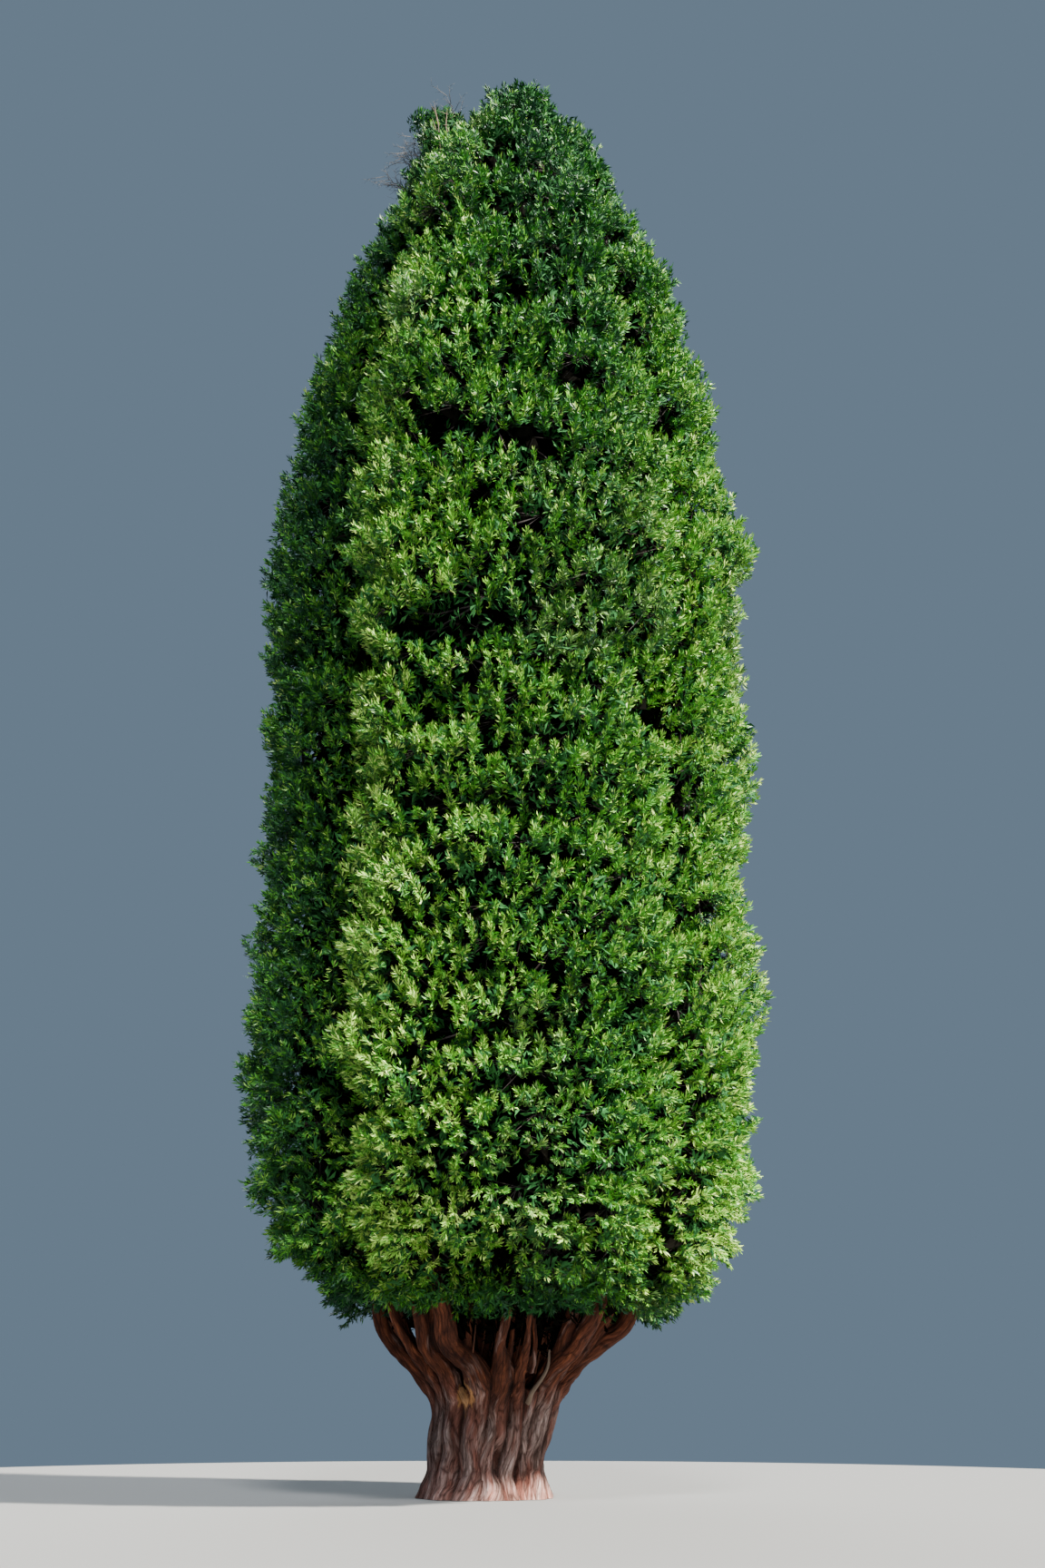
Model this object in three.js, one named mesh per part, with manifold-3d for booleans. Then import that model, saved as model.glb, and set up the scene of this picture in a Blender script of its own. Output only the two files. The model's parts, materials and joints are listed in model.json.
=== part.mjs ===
// An old incense cedar: a short fluted trunk that opens like a vase into a ring of upright boughs,
// under a dense column of foliage with five upright lobes and a forked top.
// Millimetres, +Z up. The origin is the centre of the flat cut at ground level, and the front faces -Y.
// A bearing is an angle round the upright axis, from the front towards +X.
import * as THREE from "three";
import { mergeVertices } from "three/addons/utils/BufferGeometryUtils.js";
import Module from "manifold-3d";

const wasm = await Module();
wasm.setup();
const rad = THREE.MathUtils.degToRad;

// Driving dimensions
const TREE_HEIGHT = 24000;
const CLEARANCE = 0.3;
const FORK_CUT = 1750;

// The trunk: height and mean radius, from the root flare to the crotch between the boughs
const TRUNK_PROFILE = [
  [0, 930],
  [150, 860],
  [430, 785],
  [1000, 865],
  [1300, 930],
  [1480, 780],
];
const TRUNK_SIDES = 32;
const TRUNK_STEPS = 7;
const FLARE_HEIGHT = 480;
const FLARE_RIBS = 7;
const FLARE_RIB_DEPTH = 0.1;
const GROOVE_BEARING = rad(9);
const GROOVE_HALF_ANGLE = 0.16;
const GROOVE_DEPTH = 0.15;

// The tree leans a little towards +X as it leaves the ground: height and how far its axis has moved
const AXIS_SHIFT = [
  [0, 0],
  [430, 0],
  [1100, 110],
  [1930, 190],
  [3000, 270],
  [TREE_HEIGHT, 270],
];

// The crown's outline: height and radius at the crest of a lobe
const CROWN_PROFILE = [
  [2400, 2300],
  [2700, 2900],
  [3100, 3350],
  [3600, 3700],
  [4400, 3930],
  [7000, 4030],
  [10500, 3920],
  [14300, 4060],
  [17000, 3600],
  [19500, 2850],
  [20600, 2480],
  [21300, 1950],
];
const LOBE_NAMES = ["front", "right", "back_right", "back_left", "left"];
const LOBES = LOBE_NAMES.length;
const LOBE_ANGLE = (2 * Math.PI) / LOBES;
const FIRST_LOBE = rad(-5);
const LOBE_DEPTH = 0.12;

// The masses of foliage: a skirt of two to a lobe, then five storeys, then the two tops
const SKIRT_BOTTOM = 2450;
const SKIRT_TOP = 5200;
const STOREYS = 5;
const STOREY_TOP = 21300;
const STOREY_HEIGHT = (STOREY_TOP - SKIRT_TOP) / STOREYS;
const LOBE_STAGGER = [-500, 550, -200, 700, 150];
const MASS_INNER_SHARE = 0.58;
const MASS_GAP = 50;
const CORE_SIDES = 8;
const CORE_RINGS = 4;
const CORE_SINK = 300;
const CORE_SQUARENESS = 0.32;
const CORE_FILL = 0.985;
const CORE_LUMP = 0.22;

// The sprays and twigs that stand out of each core
const SPRAY_LENGTH = 1650;
const SKIRT_SPRAY_SHARE = 0.66;
const SPRAY_WIDTH = 0.86;
const SPRAY_THICKNESS = 0.055;
// How steeply a spray points up, in degrees, by height: they hang at the rim and stand near the top
const SPRAY_CLIMB = [
  [2450, -38],
  [4300, 4],
  [6500, 44],
  [21300, 62],
];
const SPRAY_CLIMB_SPREAD = 26;
const SPRAY_JITTER = 0.6;
const SPRAY_SWING = 0.6;
const SPRAY_ROLL = 1.1;
const SPRAY_TRIES = 12;
const TWIG_RADIUS = 38;
const MASS_STEM_RADIUS = 60;
const TWIGS_PER_MASS = 2;

// The boughs that stand on the trunk: bearing of the foot and above it, radius at the fork, and how far
// out the bough stands at the crown's rim. A tall one runs up inside its lobe, and the rest end there.
const BOUGHS = [
  { foot: -80, bearing: -80, radius: 160, rim: 1790, lobe: 4 },
  { foot: -62, bearing: -60, radius: 105, rim: 1750 },
  { foot: -43, bearing: -42, radius: 150, rim: 1680 },
  { foot: -14, bearing: -28, radius: 190, rim: 1700 },
  { foot: 3, bearing: 3, radius: 150, rim: 1600, lobe: 0 },
  { foot: 25, bearing: 15, radius: 95, rim: 1600 },
  { foot: 57, bearing: 47, radius: 185, rim: 1780 },
  { foot: 75, bearing: 76, radius: 175, rim: 1890, lobe: 1 },
  { foot: 108, bearing: 110, radius: 170, rim: 1730 },
  { foot: 141, bearing: 141, radius: 180, rim: 1680, lobe: 2 },
  { foot: 176, bearing: 176, radius: 160, rim: 1730 },
  { foot: -148, bearing: -148, radius: 180, rim: 1680, lobe: 3 },
  { foot: -114, bearing: -114, radius: 165, rim: 1730 },
];
const BOUGH_SIDES = 6;
const BOUGH_FOOT = { height: 620, out: 380 };
const BOUGH_KNEE = { height: 1260, out: 690 };
const BOUGH_AT_FORK = 1050;
const RIM_HEIGHT = 2450;
const STEPS_EACH = 2;
const SHORT_TIP = { height: 3150, out: 2060, share: 0.62 };
const TALL = { reach: 1650, tipRadius: 70 };
const TALL_TIP = [20300, 20500, 20200, 20400, 21250];
const TALL_TIP_REACH = [1000, 1050, 950, 1000, 1020];
const LEADER = {
  path: [
    [120, 60, 700],
    [200, 60, FORK_CUT],
    [280, 40, 6000],
    [300, 40, 14000],
    [370, 60, 21450],
  ],
  radii: [250, 230, 195, 140, 80],
};

// The two tops: upright axis, then height and radius of each outline
const TOPS = [
  {
    name: "top_main",
    x: 370,
    y: 60,
    depth: 1,
    profile: [
      [21340, 1900],
      [22050, 1660],
      [22750, 1400],
      [23170, 1040],
      [23600, 670],
      [TREE_HEIGHT, 60],
    ],
    side: 1,
    sprayShare: 0.62,
    rows: [6, 6, 5],
  },
  {
    name: "top_left",
    x: -830,
    y: -100,
    depth: 1.8,
    profile: [
      [21340, 780],
      [22000, 500],
      [22750, 360],
      [23350, 60],
    ],
    side: -1,
    sprayShare: 0.45,
    rows: [5, 4],
  },
];
const TOPS_PARTING = -490;

// Bare dead twigs on the left near the top: the place of each tip
const DEAD_TWIGS = [
  { mass: "left_5", tip: [-2000, -450, 21250] },
  { mass: "top_left", tip: [-1980, -350, 21800] },
  { mass: "top_left", tip: [-1860, 150, 22500] },
];
const DEAD_TWIG_RADIUS = 16;
const DEAD_SIDE = { count: 3, from: 0.55, apart: 0.11, length: 0.24, turn: 0.5 };
const TOP_CORE_SINK = 120;
const TOP_CORE_LEAST = 150;

const bark = new THREE.MeshStandardMaterial({ color: 0x6b4030, roughness: 0.92, metalness: 0 });
const greens = [0x2f5f22, 0x3b7026, 0x487a31, 0x35682b, 0x2b5a2a].map(
  (color) => new THREE.MeshStandardMaterial({ color, roughness: 0.7, metalness: 0 }),
);

// Helpers

// A repeatable run of numbers from 0 to 1
function seeded(seed) {
  let state = Math.imul(seed + 1, 2654435761) >>> 0;
  return () => {
    state = (Math.imul(state, 1664525) + 1013904223) >>> 0;
    return state / 4294967296;
  };
}

// The value of a table of [at, value] pairs, in straight lines between them
function along(table, at) {
  if (at <= table[0][0]) return table[0][1];
  for (let i = 1; i < table.length; i++) {
    const [low, a] = table[i - 1];
    const [high, b] = table[i];
    if (at <= high) return a + ((b - a) * (at - low)) / (high - low);
  }
  return table[table.length - 1][1];
}

// The angle wrapped to between minus and plus half a turn
function wrapped(angle) {
  return angle - 2 * Math.PI * Math.round(angle / (2 * Math.PI));
}

function polar(bearing, radius, height, x = along(AXIS_SHIFT, height), y = 0) {
  return new THREE.Vector3(x + radius * Math.sin(bearing), y - radius * Math.cos(bearing), height);
}

function outward(bearing, climb) {
  const level = Math.cos(climb);
  return new THREE.Vector3(Math.sin(bearing) * level, -Math.cos(bearing) * level, Math.sin(climb));
}

function lobeCentre(lobe) {
  return FIRST_LOBE + lobe * LOBE_ANGLE;
}

function crownRadius(bearing, height) {
  const lobe = (bearing - FIRST_LOBE) / LOBE_ANGLE;
  const across = 2 * (lobe - Math.round(lobe));
  return along(CROWN_PROFILE, height) * (1 - LOBE_DEPTH * Math.abs(across) ** 3);
}

// A manifold solid from a closed three.js geometry
function solid(geometry) {
  const bare = geometry.clone();
  for (const name of Object.keys(bare.attributes)) {
    if (name !== "position") bare.deleteAttribute(name);
  }
  const merged = mergeVertices(bare, 1e-3);
  return new wasm.Manifold(
    new wasm.Mesh({
      numProp: 3,
      vertProperties: new Float32Array(merged.attributes.position.array),
      triVerts: new Uint32Array(merged.index.array),
    }),
  );
}

function geometryOf(made) {
  const mesh = made.getMesh();
  const positions = new Float32Array(mesh.numVert * 3);
  for (let i = 0; i < mesh.numVert; i++) {
    positions.set(mesh.vertProperties.subarray(i * mesh.numProp, i * mesh.numProp + 3), i * 3);
  }
  const geometry = new THREE.BufferGeometry();
  geometry.setAttribute("position", new THREE.BufferAttribute(positions, 3));
  geometry.setIndex(new THREE.BufferAttribute(new Uint32Array(mesh.triVerts), 1));
  geometry.computeVertexNormals();
  return geometry;
}

// Moves each vertex of a geometry by a function of its place
function reshaped(geometry, move) {
  const position = geometry.attributes.position;
  const point = new THREE.Vector3();
  for (let i = 0; i < position.count; i++) {
    const moved = move(point.fromBufferAttribute(position, i).clone());
    position.setXYZ(i, moved.x, moved.y, moved.z);
  }
  return geometry;
}

// A tapering round limb: an upright cylinder bent along a curve, with `stepsEach` from point to point
function limb(points, radii, sides, stepsEach, swell = 0) {
  const curve = new THREE.CatmullRomCurve3(points, false, "centripetal");
  const steps = stepsEach * (points.length - 1);
  const table = radii.map((radius, i) => [i / (radii.length - 1), radius]);
  const chord = points[points.length - 1].clone().sub(points[0]).normalize();
  const side = Math.abs(chord.x) < 0.8 ? new THREE.Vector3(1, 0, 0) : new THREE.Vector3(0, 0, 1);
  const cylinder = new THREE.CylinderGeometry(1, 1, 1, sides, steps);
  return reshaped(cylinder, (p) => {
    const share = THREE.MathUtils.clamp(p.y + 0.5, 0, 1);
    const tangent = curve.getTangent(share);
    const normal = side.clone().addScaledVector(tangent, -side.dot(tangent)).normalize();
    const binormal = normal.clone().cross(tangent);
    const radius = along(table, share) + swell / Math.cos(Math.PI / sides);
    const end = share === 0 ? -swell : share === 1 ? swell : 0;
    return curve
      .getPoint(share)
      .addScaledVector(tangent, end)
      .addScaledVector(normal, p.x * radius)
      .addScaledVector(binormal, p.z * radius);
  });
}

// A straight three-sided twig
function twig(from, to, radius, tipRadius = radius * 0.6) {
  return solid(limb([from, to], [radius, tipRadius], 3, 1));
}

// One spray: a flat fan with three teeth, thickest at its middle. Its root is at `root`, its plane turned
// about its length by `roll` from upright.
function spray(root, direction, length, roll) {
  const level = new THREE.Vector3(-direction.y, direction.x, 0).normalize();
  const upright = new THREE.Vector3().crossVectors(direction, level).normalize();
  const across = upright.clone().multiplyScalar(Math.cos(roll)).addScaledVector(level, Math.sin(roll));
  const through = new THREE.Vector3().crossVectors(direction, across).normalize();
  const half = (length * SPRAY_WIDTH) / 2;
  const outline = [
    [0, 0],
    [0.7, 1],
    [0.64, 0.34],
    [1, 0],
    [0.64, -0.34],
    [0.7, -1],
  ];
  const rim = outline.map(([out, side]) =>
    root.clone().addScaledVector(direction, out * length).addScaledVector(across, side * half),
  );
  const middle = root.clone().addScaledVector(direction, 0.48 * length);
  const faces = [1, -1].map((side) =>
    middle.clone().addScaledVector(through, (side * length * SPRAY_THICKNESS) / 2),
  );
  const geometry = new THREE.BufferGeometry().setFromPoints([...rim, ...faces]);
  const count = rim.length;
  const index = [];
  for (let i = 0; i < count; i++) {
    const next = (i + 1) % count;
    index.push(count, next, i, count + 1, i, next);
  }
  geometry.setIndex(index);
  return { made: solid(geometry), points: rim };
}

// The trunk and the boughs

function flare(bearing, height) {
  const share = Math.max(0, 1 - height / FLARE_HEIGHT);
  return 1 + FLARE_RIB_DEPTH * share * Math.cos(FLARE_RIBS * bearing + 0.8);
}

function groove(bearing) {
  const off = wrapped(bearing - GROOVE_BEARING) / GROOVE_HALF_ANGLE;
  return 1 - GROOVE_DEPTH * Math.exp(-off * off);
}

function trunkBole() {
  const top = TRUNK_PROFILE[TRUNK_PROFILE.length - 1][0];
  const bole = new THREE.CylinderGeometry(1, 1, 1, TRUNK_SIDES, TRUNK_STEPS);
  return reshaped(bole, (p) => {
    const height = THREE.MathUtils.clamp(p.y + 0.5, 0, 1) * top;
    const out = Math.hypot(p.x, p.z);
    const bearing = Math.atan2(p.x, p.z);
    const radius = out * along(TRUNK_PROFILE, height) * flare(bearing, height) * groove(bearing);
    return polar(bearing, radius, height);
  });
}

// The points and radii of a bough, from inside the trunk to its tip
function boughPath(bough) {
  const bearing = rad(bough.bearing);
  const foot = rad(bough.foot);
  const points = [
    polar(foot, BOUGH_FOOT.out, BOUGH_FOOT.height),
    polar(foot, BOUGH_KNEE.out, BOUGH_KNEE.height),
    polar((foot + bearing) / 2, BOUGH_AT_FORK, FORK_CUT),
    polar(bearing, bough.rim, RIM_HEIGHT),
  ];
  const radii = [bough.radius * 1.25, bough.radius * 1.2, bough.radius, bough.radius * 0.88];
  if (bough.lobe === undefined) {
    points.push(polar(bearing, SHORT_TIP.out, SHORT_TIP.height));
    radii.push(bough.radius * SHORT_TIP.share);
    return { points, radii };
  }
  const inLobe = bearing + wrapped(lobeCentre(bough.lobe) - bearing) / 2;
  points.push(
    polar(bearing, bough.rim, RIM_HEIGHT + 1200),
    polar(inLobe, TALL.reach, 8000),
    polar(inLobe, TALL.reach, 14000),
    polar(inLobe, TALL_TIP_REACH[bough.lobe], TALL_TIP[bough.lobe]),
  );
  radii.push(bough.radius * 0.8, bough.radius * 0.7, bough.radius * 0.55, TALL.tipRadius);
  return { points, radii };
}

function leaderPath() {
  const points = LEADER.path.map((at) => new THREE.Vector3(...at));
  return { points, radii: LEADER.radii };
}

// The level cut at the fork, where the boughs leave the trunk
const below = solid(new THREE.BoxGeometry(TREE_HEIGHT, TREE_HEIGHT, FORK_CUT * 2));
const above = solid(
  new THREE.BoxGeometry(TREE_HEIGHT, TREE_HEIGHT, TREE_HEIGHT * 2)
    .translate(0, 0, FORK_CUT + CLEARANCE + TREE_HEIGHT),
);

const limbs = [...BOUGHS.map(boughPath), leaderPath()].map(({ points, radii }, i) => ({
  name: i < BOUGHS.length ? `bough_${String(i + 1).padStart(2, "0")}` : "leader",
  curve: new THREE.CatmullRomCurve3(points, false, "centripetal"),
  whole: solid(limb(points, radii, BOUGH_SIDES, STEPS_EACH)),
  clear: solid(limb(points, radii, BOUGH_SIDES, STEPS_EACH, CLEARANCE)),
}));

function trunk() {
  const footed = limbs.reduce((sum, { whole }) => sum.add(whole), solid(trunkBole()));
  return footed.intersect(below);
}

// The masses of foliage

// The point at a height on a limb's axis
function onLimb(limbMade, height) {
  let low = 0;
  let high = 1;
  for (let i = 0; i < 30; i++) {
    const middle = (low + high) / 2;
    if (limbMade.curve.getPointAt(middle).z < height) low = middle;
    else high = middle;
  }
  return limbMade.curve.getPointAt(low);
}

// A squarish, lumpy core. `place` puts a point of a unit ball into the mass's space, with a share of how
// far out it lies.
function core(random, place) {
  const lumps = new Map();
  const ball = new THREE.SphereGeometry(1, CORE_SIDES, CORE_RINGS);
  ball.rotateX(Math.PI / 2);
  return solid(
    reshaped(ball, (p) => {
      const rounded = p.toArray().map((v) => Math.round(v * 1000) / 1000);
      const key = rounded.join();
      const parts = rounded.map((v) => Math.sign(v) * Math.abs(v) ** CORE_SQUARENESS);
      if (!lumps.has(key)) lumps.set(key, 1 - CORE_LUMP * random());
      return place(new THREE.Vector3(...parts), lumps.get(key));
    }),
  );
}

// The first of a few random sprays that keeps to the mass's space, if one does
function keptSpray(makeSpray, holds) {
  for (let i = 0; i < SPRAY_TRIES; i++) {
    const made = makeSpray();
    if (made.points.every(holds)) return [made];
  }
  return [];
}

// Joins a core, its stem, its twigs and its sprays into one solid, cut clear of the limbs
function joined({ coreMade, hub, stemFrom, sprays, twigs }) {
  const parts = [coreMade, twig(stemFrom, hub, MASS_STEM_RADIUS), ...twigs];
  sprays.forEach(({ made, points }, i) => {
    parts.push(made);
    if (i % Math.ceil(sprays.length / TWIGS_PER_MASS) === 0) {
      parts.push(twig(hub, points[0].clone().lerp(points[3], 0.3), TWIG_RADIUS));
    }
  });
  let sum = wasm.Manifold.union(parts);
  for (const { clear } of limbs) sum = sum.subtract(clear);
  const bodies = sum.decompose().sort((a, b) => b.volume() - a.volume());
  return bodies[0];
}

// A bare dead spray: one twig with side twigs near its end
function deadTwig(from, direction, reach, random) {
  const to = from.clone().addScaledVector(direction, reach);
  const made = [twig(from, to, DEAD_TWIG_RADIUS * 1.4, DEAD_TWIG_RADIUS * 0.6)];
  for (let i = 0; i < DEAD_SIDE.count; i++) {
    const start = from.clone().lerp(to, DEAD_SIDE.from + DEAD_SIDE.apart * i);
    const turn = (i % 2 ? 1 : -1) * (DEAD_SIDE.turn + 0.3 * random());
    const side = direction.clone().applyAxisAngle(new THREE.Vector3(0, 1, 0), turn);
    const end = start.clone().addScaledVector(side, reach * DEAD_SIDE.length);
    made.push(twig(start, end, DEAD_TWIG_RADIUS));
  }
  return made;
}

// One mass in a sector of the crown's shell
function sectorMass({ name, from, to, low, high, rows, sprayShare, carrier, seed }) {
  const random = seeded(seed);
  const middle = (from + to) / 2;
  const halfAngle = (to - from) / 2;
  const centre = (low + high) / 2;
  const halfHeight = (high - low) / 2;
  const outerMid = crownRadius(middle, centre);
  const shellMid = outerMid * (1 + MASS_INNER_SHARE) * 0.5;

  const place = (p, lump) => {
    const bearing = middle + p.x * halfAngle * CORE_FILL;
    const height = centre + p.z * halfHeight * CORE_FILL;
    const outer = crownRadius(bearing, height) - CORE_SINK;
    const inner = Math.min(outerMid * MASS_INNER_SHARE, outer - 250);
    const shell = Math.min(shellMid, (outer + inner) / 2);
    const out = p.y > 0 ? p.y * (outer - shell) : p.y * (shell - inner);
    return polar(bearing, shell + out * lump, height);
  };
  const coreMade = core(random, (p, lump) => place(new THREE.Vector3(p.x, -p.y, p.z), lump));

  const holds = (p) => {
    const x = p.x - along(AXIS_SHIFT, p.z);
    const radius = Math.hypot(x, p.y);
    const off = wrapped(Math.atan2(x, -p.y) - middle);
    const side = radius * Math.sin(halfAngle - Math.abs(off));
    return side > MASS_GAP && p.z > low + MASS_GAP && p.z < high - MASS_GAP;
  };

  const sprayAt = (column, columns, row) => {
    const across = ((column + 0.5 + SPRAY_JITTER * (random() - 0.5)) / columns) * 2 - 1;
    const up = ((row + 0.62 + SPRAY_JITTER * (random() - 0.5)) / rows.length) * 2 - 1;
    const length = SPRAY_LENGTH * sprayShare * (0.8 + 0.3 * random());
    const bearing = middle + across * halfAngle;
    const height = centre + up * halfHeight;
    const climb = rad(along(SPRAY_CLIMB, height) + SPRAY_CLIMB_SPREAD * (random() - 0.5));
    const direction = outward(bearing + SPRAY_SWING * (random() - 0.5), climb);
    const tip = polar(bearing, crownRadius(bearing, height) - 60 * random(), height);
    const root = tip.addScaledVector(direction, -length);
    return spray(root, direction, length, Math.PI / 2 + SPRAY_ROLL * (random() - 0.5));
  };
  const sprays = rows.flatMap((columns, row) =>
    Array.from({ length: columns }, (_, column) =>
      keptSpray(() => sprayAt(column, columns, row), holds),
    ).flat(),
  );

  const hub = polar(middle, shellMid, centre);
  const meet = Math.min(centre - halfHeight * 0.3, carrier.curve.getPointAt(1).z - 60);
  const stemFrom = onLimb(carrier, meet);
  return joined({ coreMade, hub, stemFrom, sprays, twigs: deadTwigsOf(name, hub, random) });
}

// One of the two tops, round its own upright axis
function topMass(top, carrier, seed) {
  const random = seeded(seed);
  const low = top.profile[0][0];
  const high = top.profile[top.profile.length - 1][0];
  const centre = low + (high - low) * 0.42;
  const parting = TOPS_PARTING + top.side * 2 * MASS_GAP;
  const coreMade = core(random, (p, lump) => {
    const up = p.z > 0 ? high - TOP_CORE_SINK - centre : centre - low - 2 * MASS_GAP;
    const height = centre + p.z * up;
    const radius = lump * Math.max(TOP_CORE_LEAST, along(top.profile, height) - TOP_CORE_SINK);
    const x = top.x + p.x * radius;
    const parted = top.side > 0 ? Math.max(x, parting) : Math.min(x, parting);
    return new THREE.Vector3(parted, top.y + p.y * radius * top.depth, height);
  });
  const holds = (p) =>
    top.side * (p.x - TOPS_PARTING) > MASS_GAP && p.z > low + MASS_GAP && p.z < TREE_HEIGHT + 1;

  const sprayAt = (i, count, row) => {
    const up = (row + 0.7 + 0.3 * (random() - 0.5)) / (top.rows.length + 0.5);
    const bearing = ((i + 0.5 * (row % 2) + 0.5 * (random() - 0.5)) / count) * 2 * Math.PI;
    const height = low + up * (high - low);
    const direction = outward(bearing, rad(30 + 50 * up));
    const length = SPRAY_LENGTH * top.sprayShare * (0.8 + 0.2 * random());
    const tip = polar(bearing, along(top.profile, height), height, top.x, 0);
    tip.y = top.y + tip.y * top.depth;
    const root = tip.addScaledVector(direction, -length);
    return spray(root, direction, length, Math.PI / 2 + SPRAY_ROLL * (random() - 0.5));
  };
  const sprays = top.rows.flatMap((count, row) =>
    Array.from({ length: count }, (_, i) => keptSpray(() => sprayAt(i, count, row), holds)).flat(),
  );
  const apexLength = SPRAY_LENGTH * top.sprayShare;
  const apexRoot = new THREE.Vector3(top.x, top.y, high - apexLength);
  sprays.push(spray(apexRoot, new THREE.Vector3(-0.02, 0.001, 1).normalize(), apexLength, 0.9));

  const hub = new THREE.Vector3(top.x, top.y, centre);
  const stemFrom = onLimb(carrier, carrier.curve.getPointAt(1).z - 60);
  return joined({ coreMade, hub, stemFrom, sprays, twigs: deadTwigsOf(top.name, hub, random) });
}

function deadTwigsOf(name, hub, random) {
  return DEAD_TWIGS.filter((dead) => dead.mass === name).flatMap((dead) => {
    const reach = new THREE.Vector3(...dead.tip).sub(hub);
    return deadTwig(hub, reach.clone().normalize(), reach.length(), random);
  });
}

// Puts the tree together

const tree = new THREE.Group();

function addMesh(name, made, material) {
  const mesh = new THREE.Mesh(geometryOf(made), material);
  mesh.name = name;
  tree.add(mesh);
}

addMesh("trunk", trunk(), bark);
for (const { name, whole } of limbs) addMesh(name, whole.intersect(above), bark);

// The bough nearest in bearing, which bears a skirt mass
function nearestBough(bearing) {
  const off = (bough) => Math.abs(wrapped(rad(bough.bearing) - bearing));
  const nearest = BOUGHS.reduce((best, bough) => (off(bough) < off(best) ? bough : best));
  return limbs[BOUGHS.indexOf(nearest)];
}

LOBE_NAMES.forEach((lobeName, lobe) => {
  const centre = lobeCentre(lobe);
  const skirtTop = SKIRT_TOP + LOBE_STAGGER[lobe];
  [-1, 1].forEach((side, half) => {
    const bounds = [centre, centre + (side * LOBE_ANGLE) / 2].sort((a, b) => a - b);
    const made = sectorMass({
      name: `${lobeName}_skirt_${half + 1}`,
      from: bounds[0],
      to: bounds[1],
      low: SKIRT_BOTTOM,
      high: skirtTop,
      rows: [3, 2, 3],
      sprayShare: SKIRT_SPRAY_SHARE,
      carrier: nearestBough((bounds[0] + bounds[1]) / 2),
      seed: 100 + lobe * 2 + half,
    });
    addMesh(`${lobeName}_skirt_${half + 1}`, made, greens[lobe]);
  });
  for (let storey = 1; storey <= STOREYS; storey++) {
    const low = SKIRT_TOP + LOBE_STAGGER[lobe] + (storey - 1) * STOREY_HEIGHT;
    const made = sectorMass({
      name: `${lobeName}_${storey}`,
      from: centre - LOBE_ANGLE / 2,
      to: centre + LOBE_ANGLE / 2,
      low,
      high: storey === STOREYS ? STOREY_TOP : low + STOREY_HEIGHT,
      rows: [4, 3, 4],
      sprayShare: 1,
      carrier: limbs[BOUGHS.findIndex((bough) => bough.lobe === lobe)],
      seed: 200 + lobe * STOREYS + storey,
    });
    addMesh(`${lobeName}_${storey}`, made, greens[(lobe + storey) % greens.length]);
  }
});
addMesh(TOPS[0].name, topMass(TOPS[0], limbs[limbs.length - 1], 301), greens[1]);
addMesh(TOPS[1].name, topMass(TOPS[1], limbs[0], 302), greens[3]);

export default tree;
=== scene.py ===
# An old incense cedar in metres, +Z up, with its front facing -Y. Bearings run from the front towards +X.

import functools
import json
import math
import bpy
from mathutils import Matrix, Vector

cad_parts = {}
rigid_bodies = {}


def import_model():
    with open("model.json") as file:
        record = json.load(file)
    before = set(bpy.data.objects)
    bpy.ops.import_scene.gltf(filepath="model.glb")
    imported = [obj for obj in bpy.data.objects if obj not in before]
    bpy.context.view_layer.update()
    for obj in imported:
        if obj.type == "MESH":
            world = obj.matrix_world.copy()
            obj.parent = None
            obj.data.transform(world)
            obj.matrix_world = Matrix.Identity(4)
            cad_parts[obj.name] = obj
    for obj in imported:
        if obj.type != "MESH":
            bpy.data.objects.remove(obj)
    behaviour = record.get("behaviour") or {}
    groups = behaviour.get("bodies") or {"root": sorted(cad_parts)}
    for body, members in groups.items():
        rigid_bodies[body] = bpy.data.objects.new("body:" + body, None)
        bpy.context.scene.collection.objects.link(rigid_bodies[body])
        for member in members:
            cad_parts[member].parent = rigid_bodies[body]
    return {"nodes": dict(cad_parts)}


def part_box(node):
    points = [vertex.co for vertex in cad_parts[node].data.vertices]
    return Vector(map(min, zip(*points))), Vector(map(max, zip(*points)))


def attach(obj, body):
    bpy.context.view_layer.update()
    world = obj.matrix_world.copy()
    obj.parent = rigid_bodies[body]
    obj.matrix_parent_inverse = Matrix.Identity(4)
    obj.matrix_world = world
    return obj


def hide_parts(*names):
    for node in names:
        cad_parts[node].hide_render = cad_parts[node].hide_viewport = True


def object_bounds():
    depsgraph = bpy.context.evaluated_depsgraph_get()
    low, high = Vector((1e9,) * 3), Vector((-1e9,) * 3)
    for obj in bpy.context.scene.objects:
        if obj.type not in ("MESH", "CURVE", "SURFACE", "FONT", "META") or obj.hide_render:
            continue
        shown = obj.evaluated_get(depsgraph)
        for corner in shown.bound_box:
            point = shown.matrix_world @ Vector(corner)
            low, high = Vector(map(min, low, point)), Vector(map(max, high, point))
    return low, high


bl_info = {
    "name": "Incense cedar",
    "version": (1, 0, 0),
    "blender": (4, 5, 0),
    "location": "View3D > Sidebar > Cedar",
    "description": "Grows an old incense cedar with its bark, boughs, twigs and sprays",
    "category": "Add Mesh",
}

import bpy
import numpy as np
from mathutils import Matrix, Vector, kdtree

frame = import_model()
CAD_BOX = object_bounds()
NODES = sorted(frame["nodes"])
LIMB_NODES = [name for name in NODES if name.startswith("bough_") or name == "leader"]
MASS_NODES = [name for name in NODES if name != "trunk" and name not in LIMB_NODES]
TREE_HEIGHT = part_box("top_main")[1].z

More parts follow.
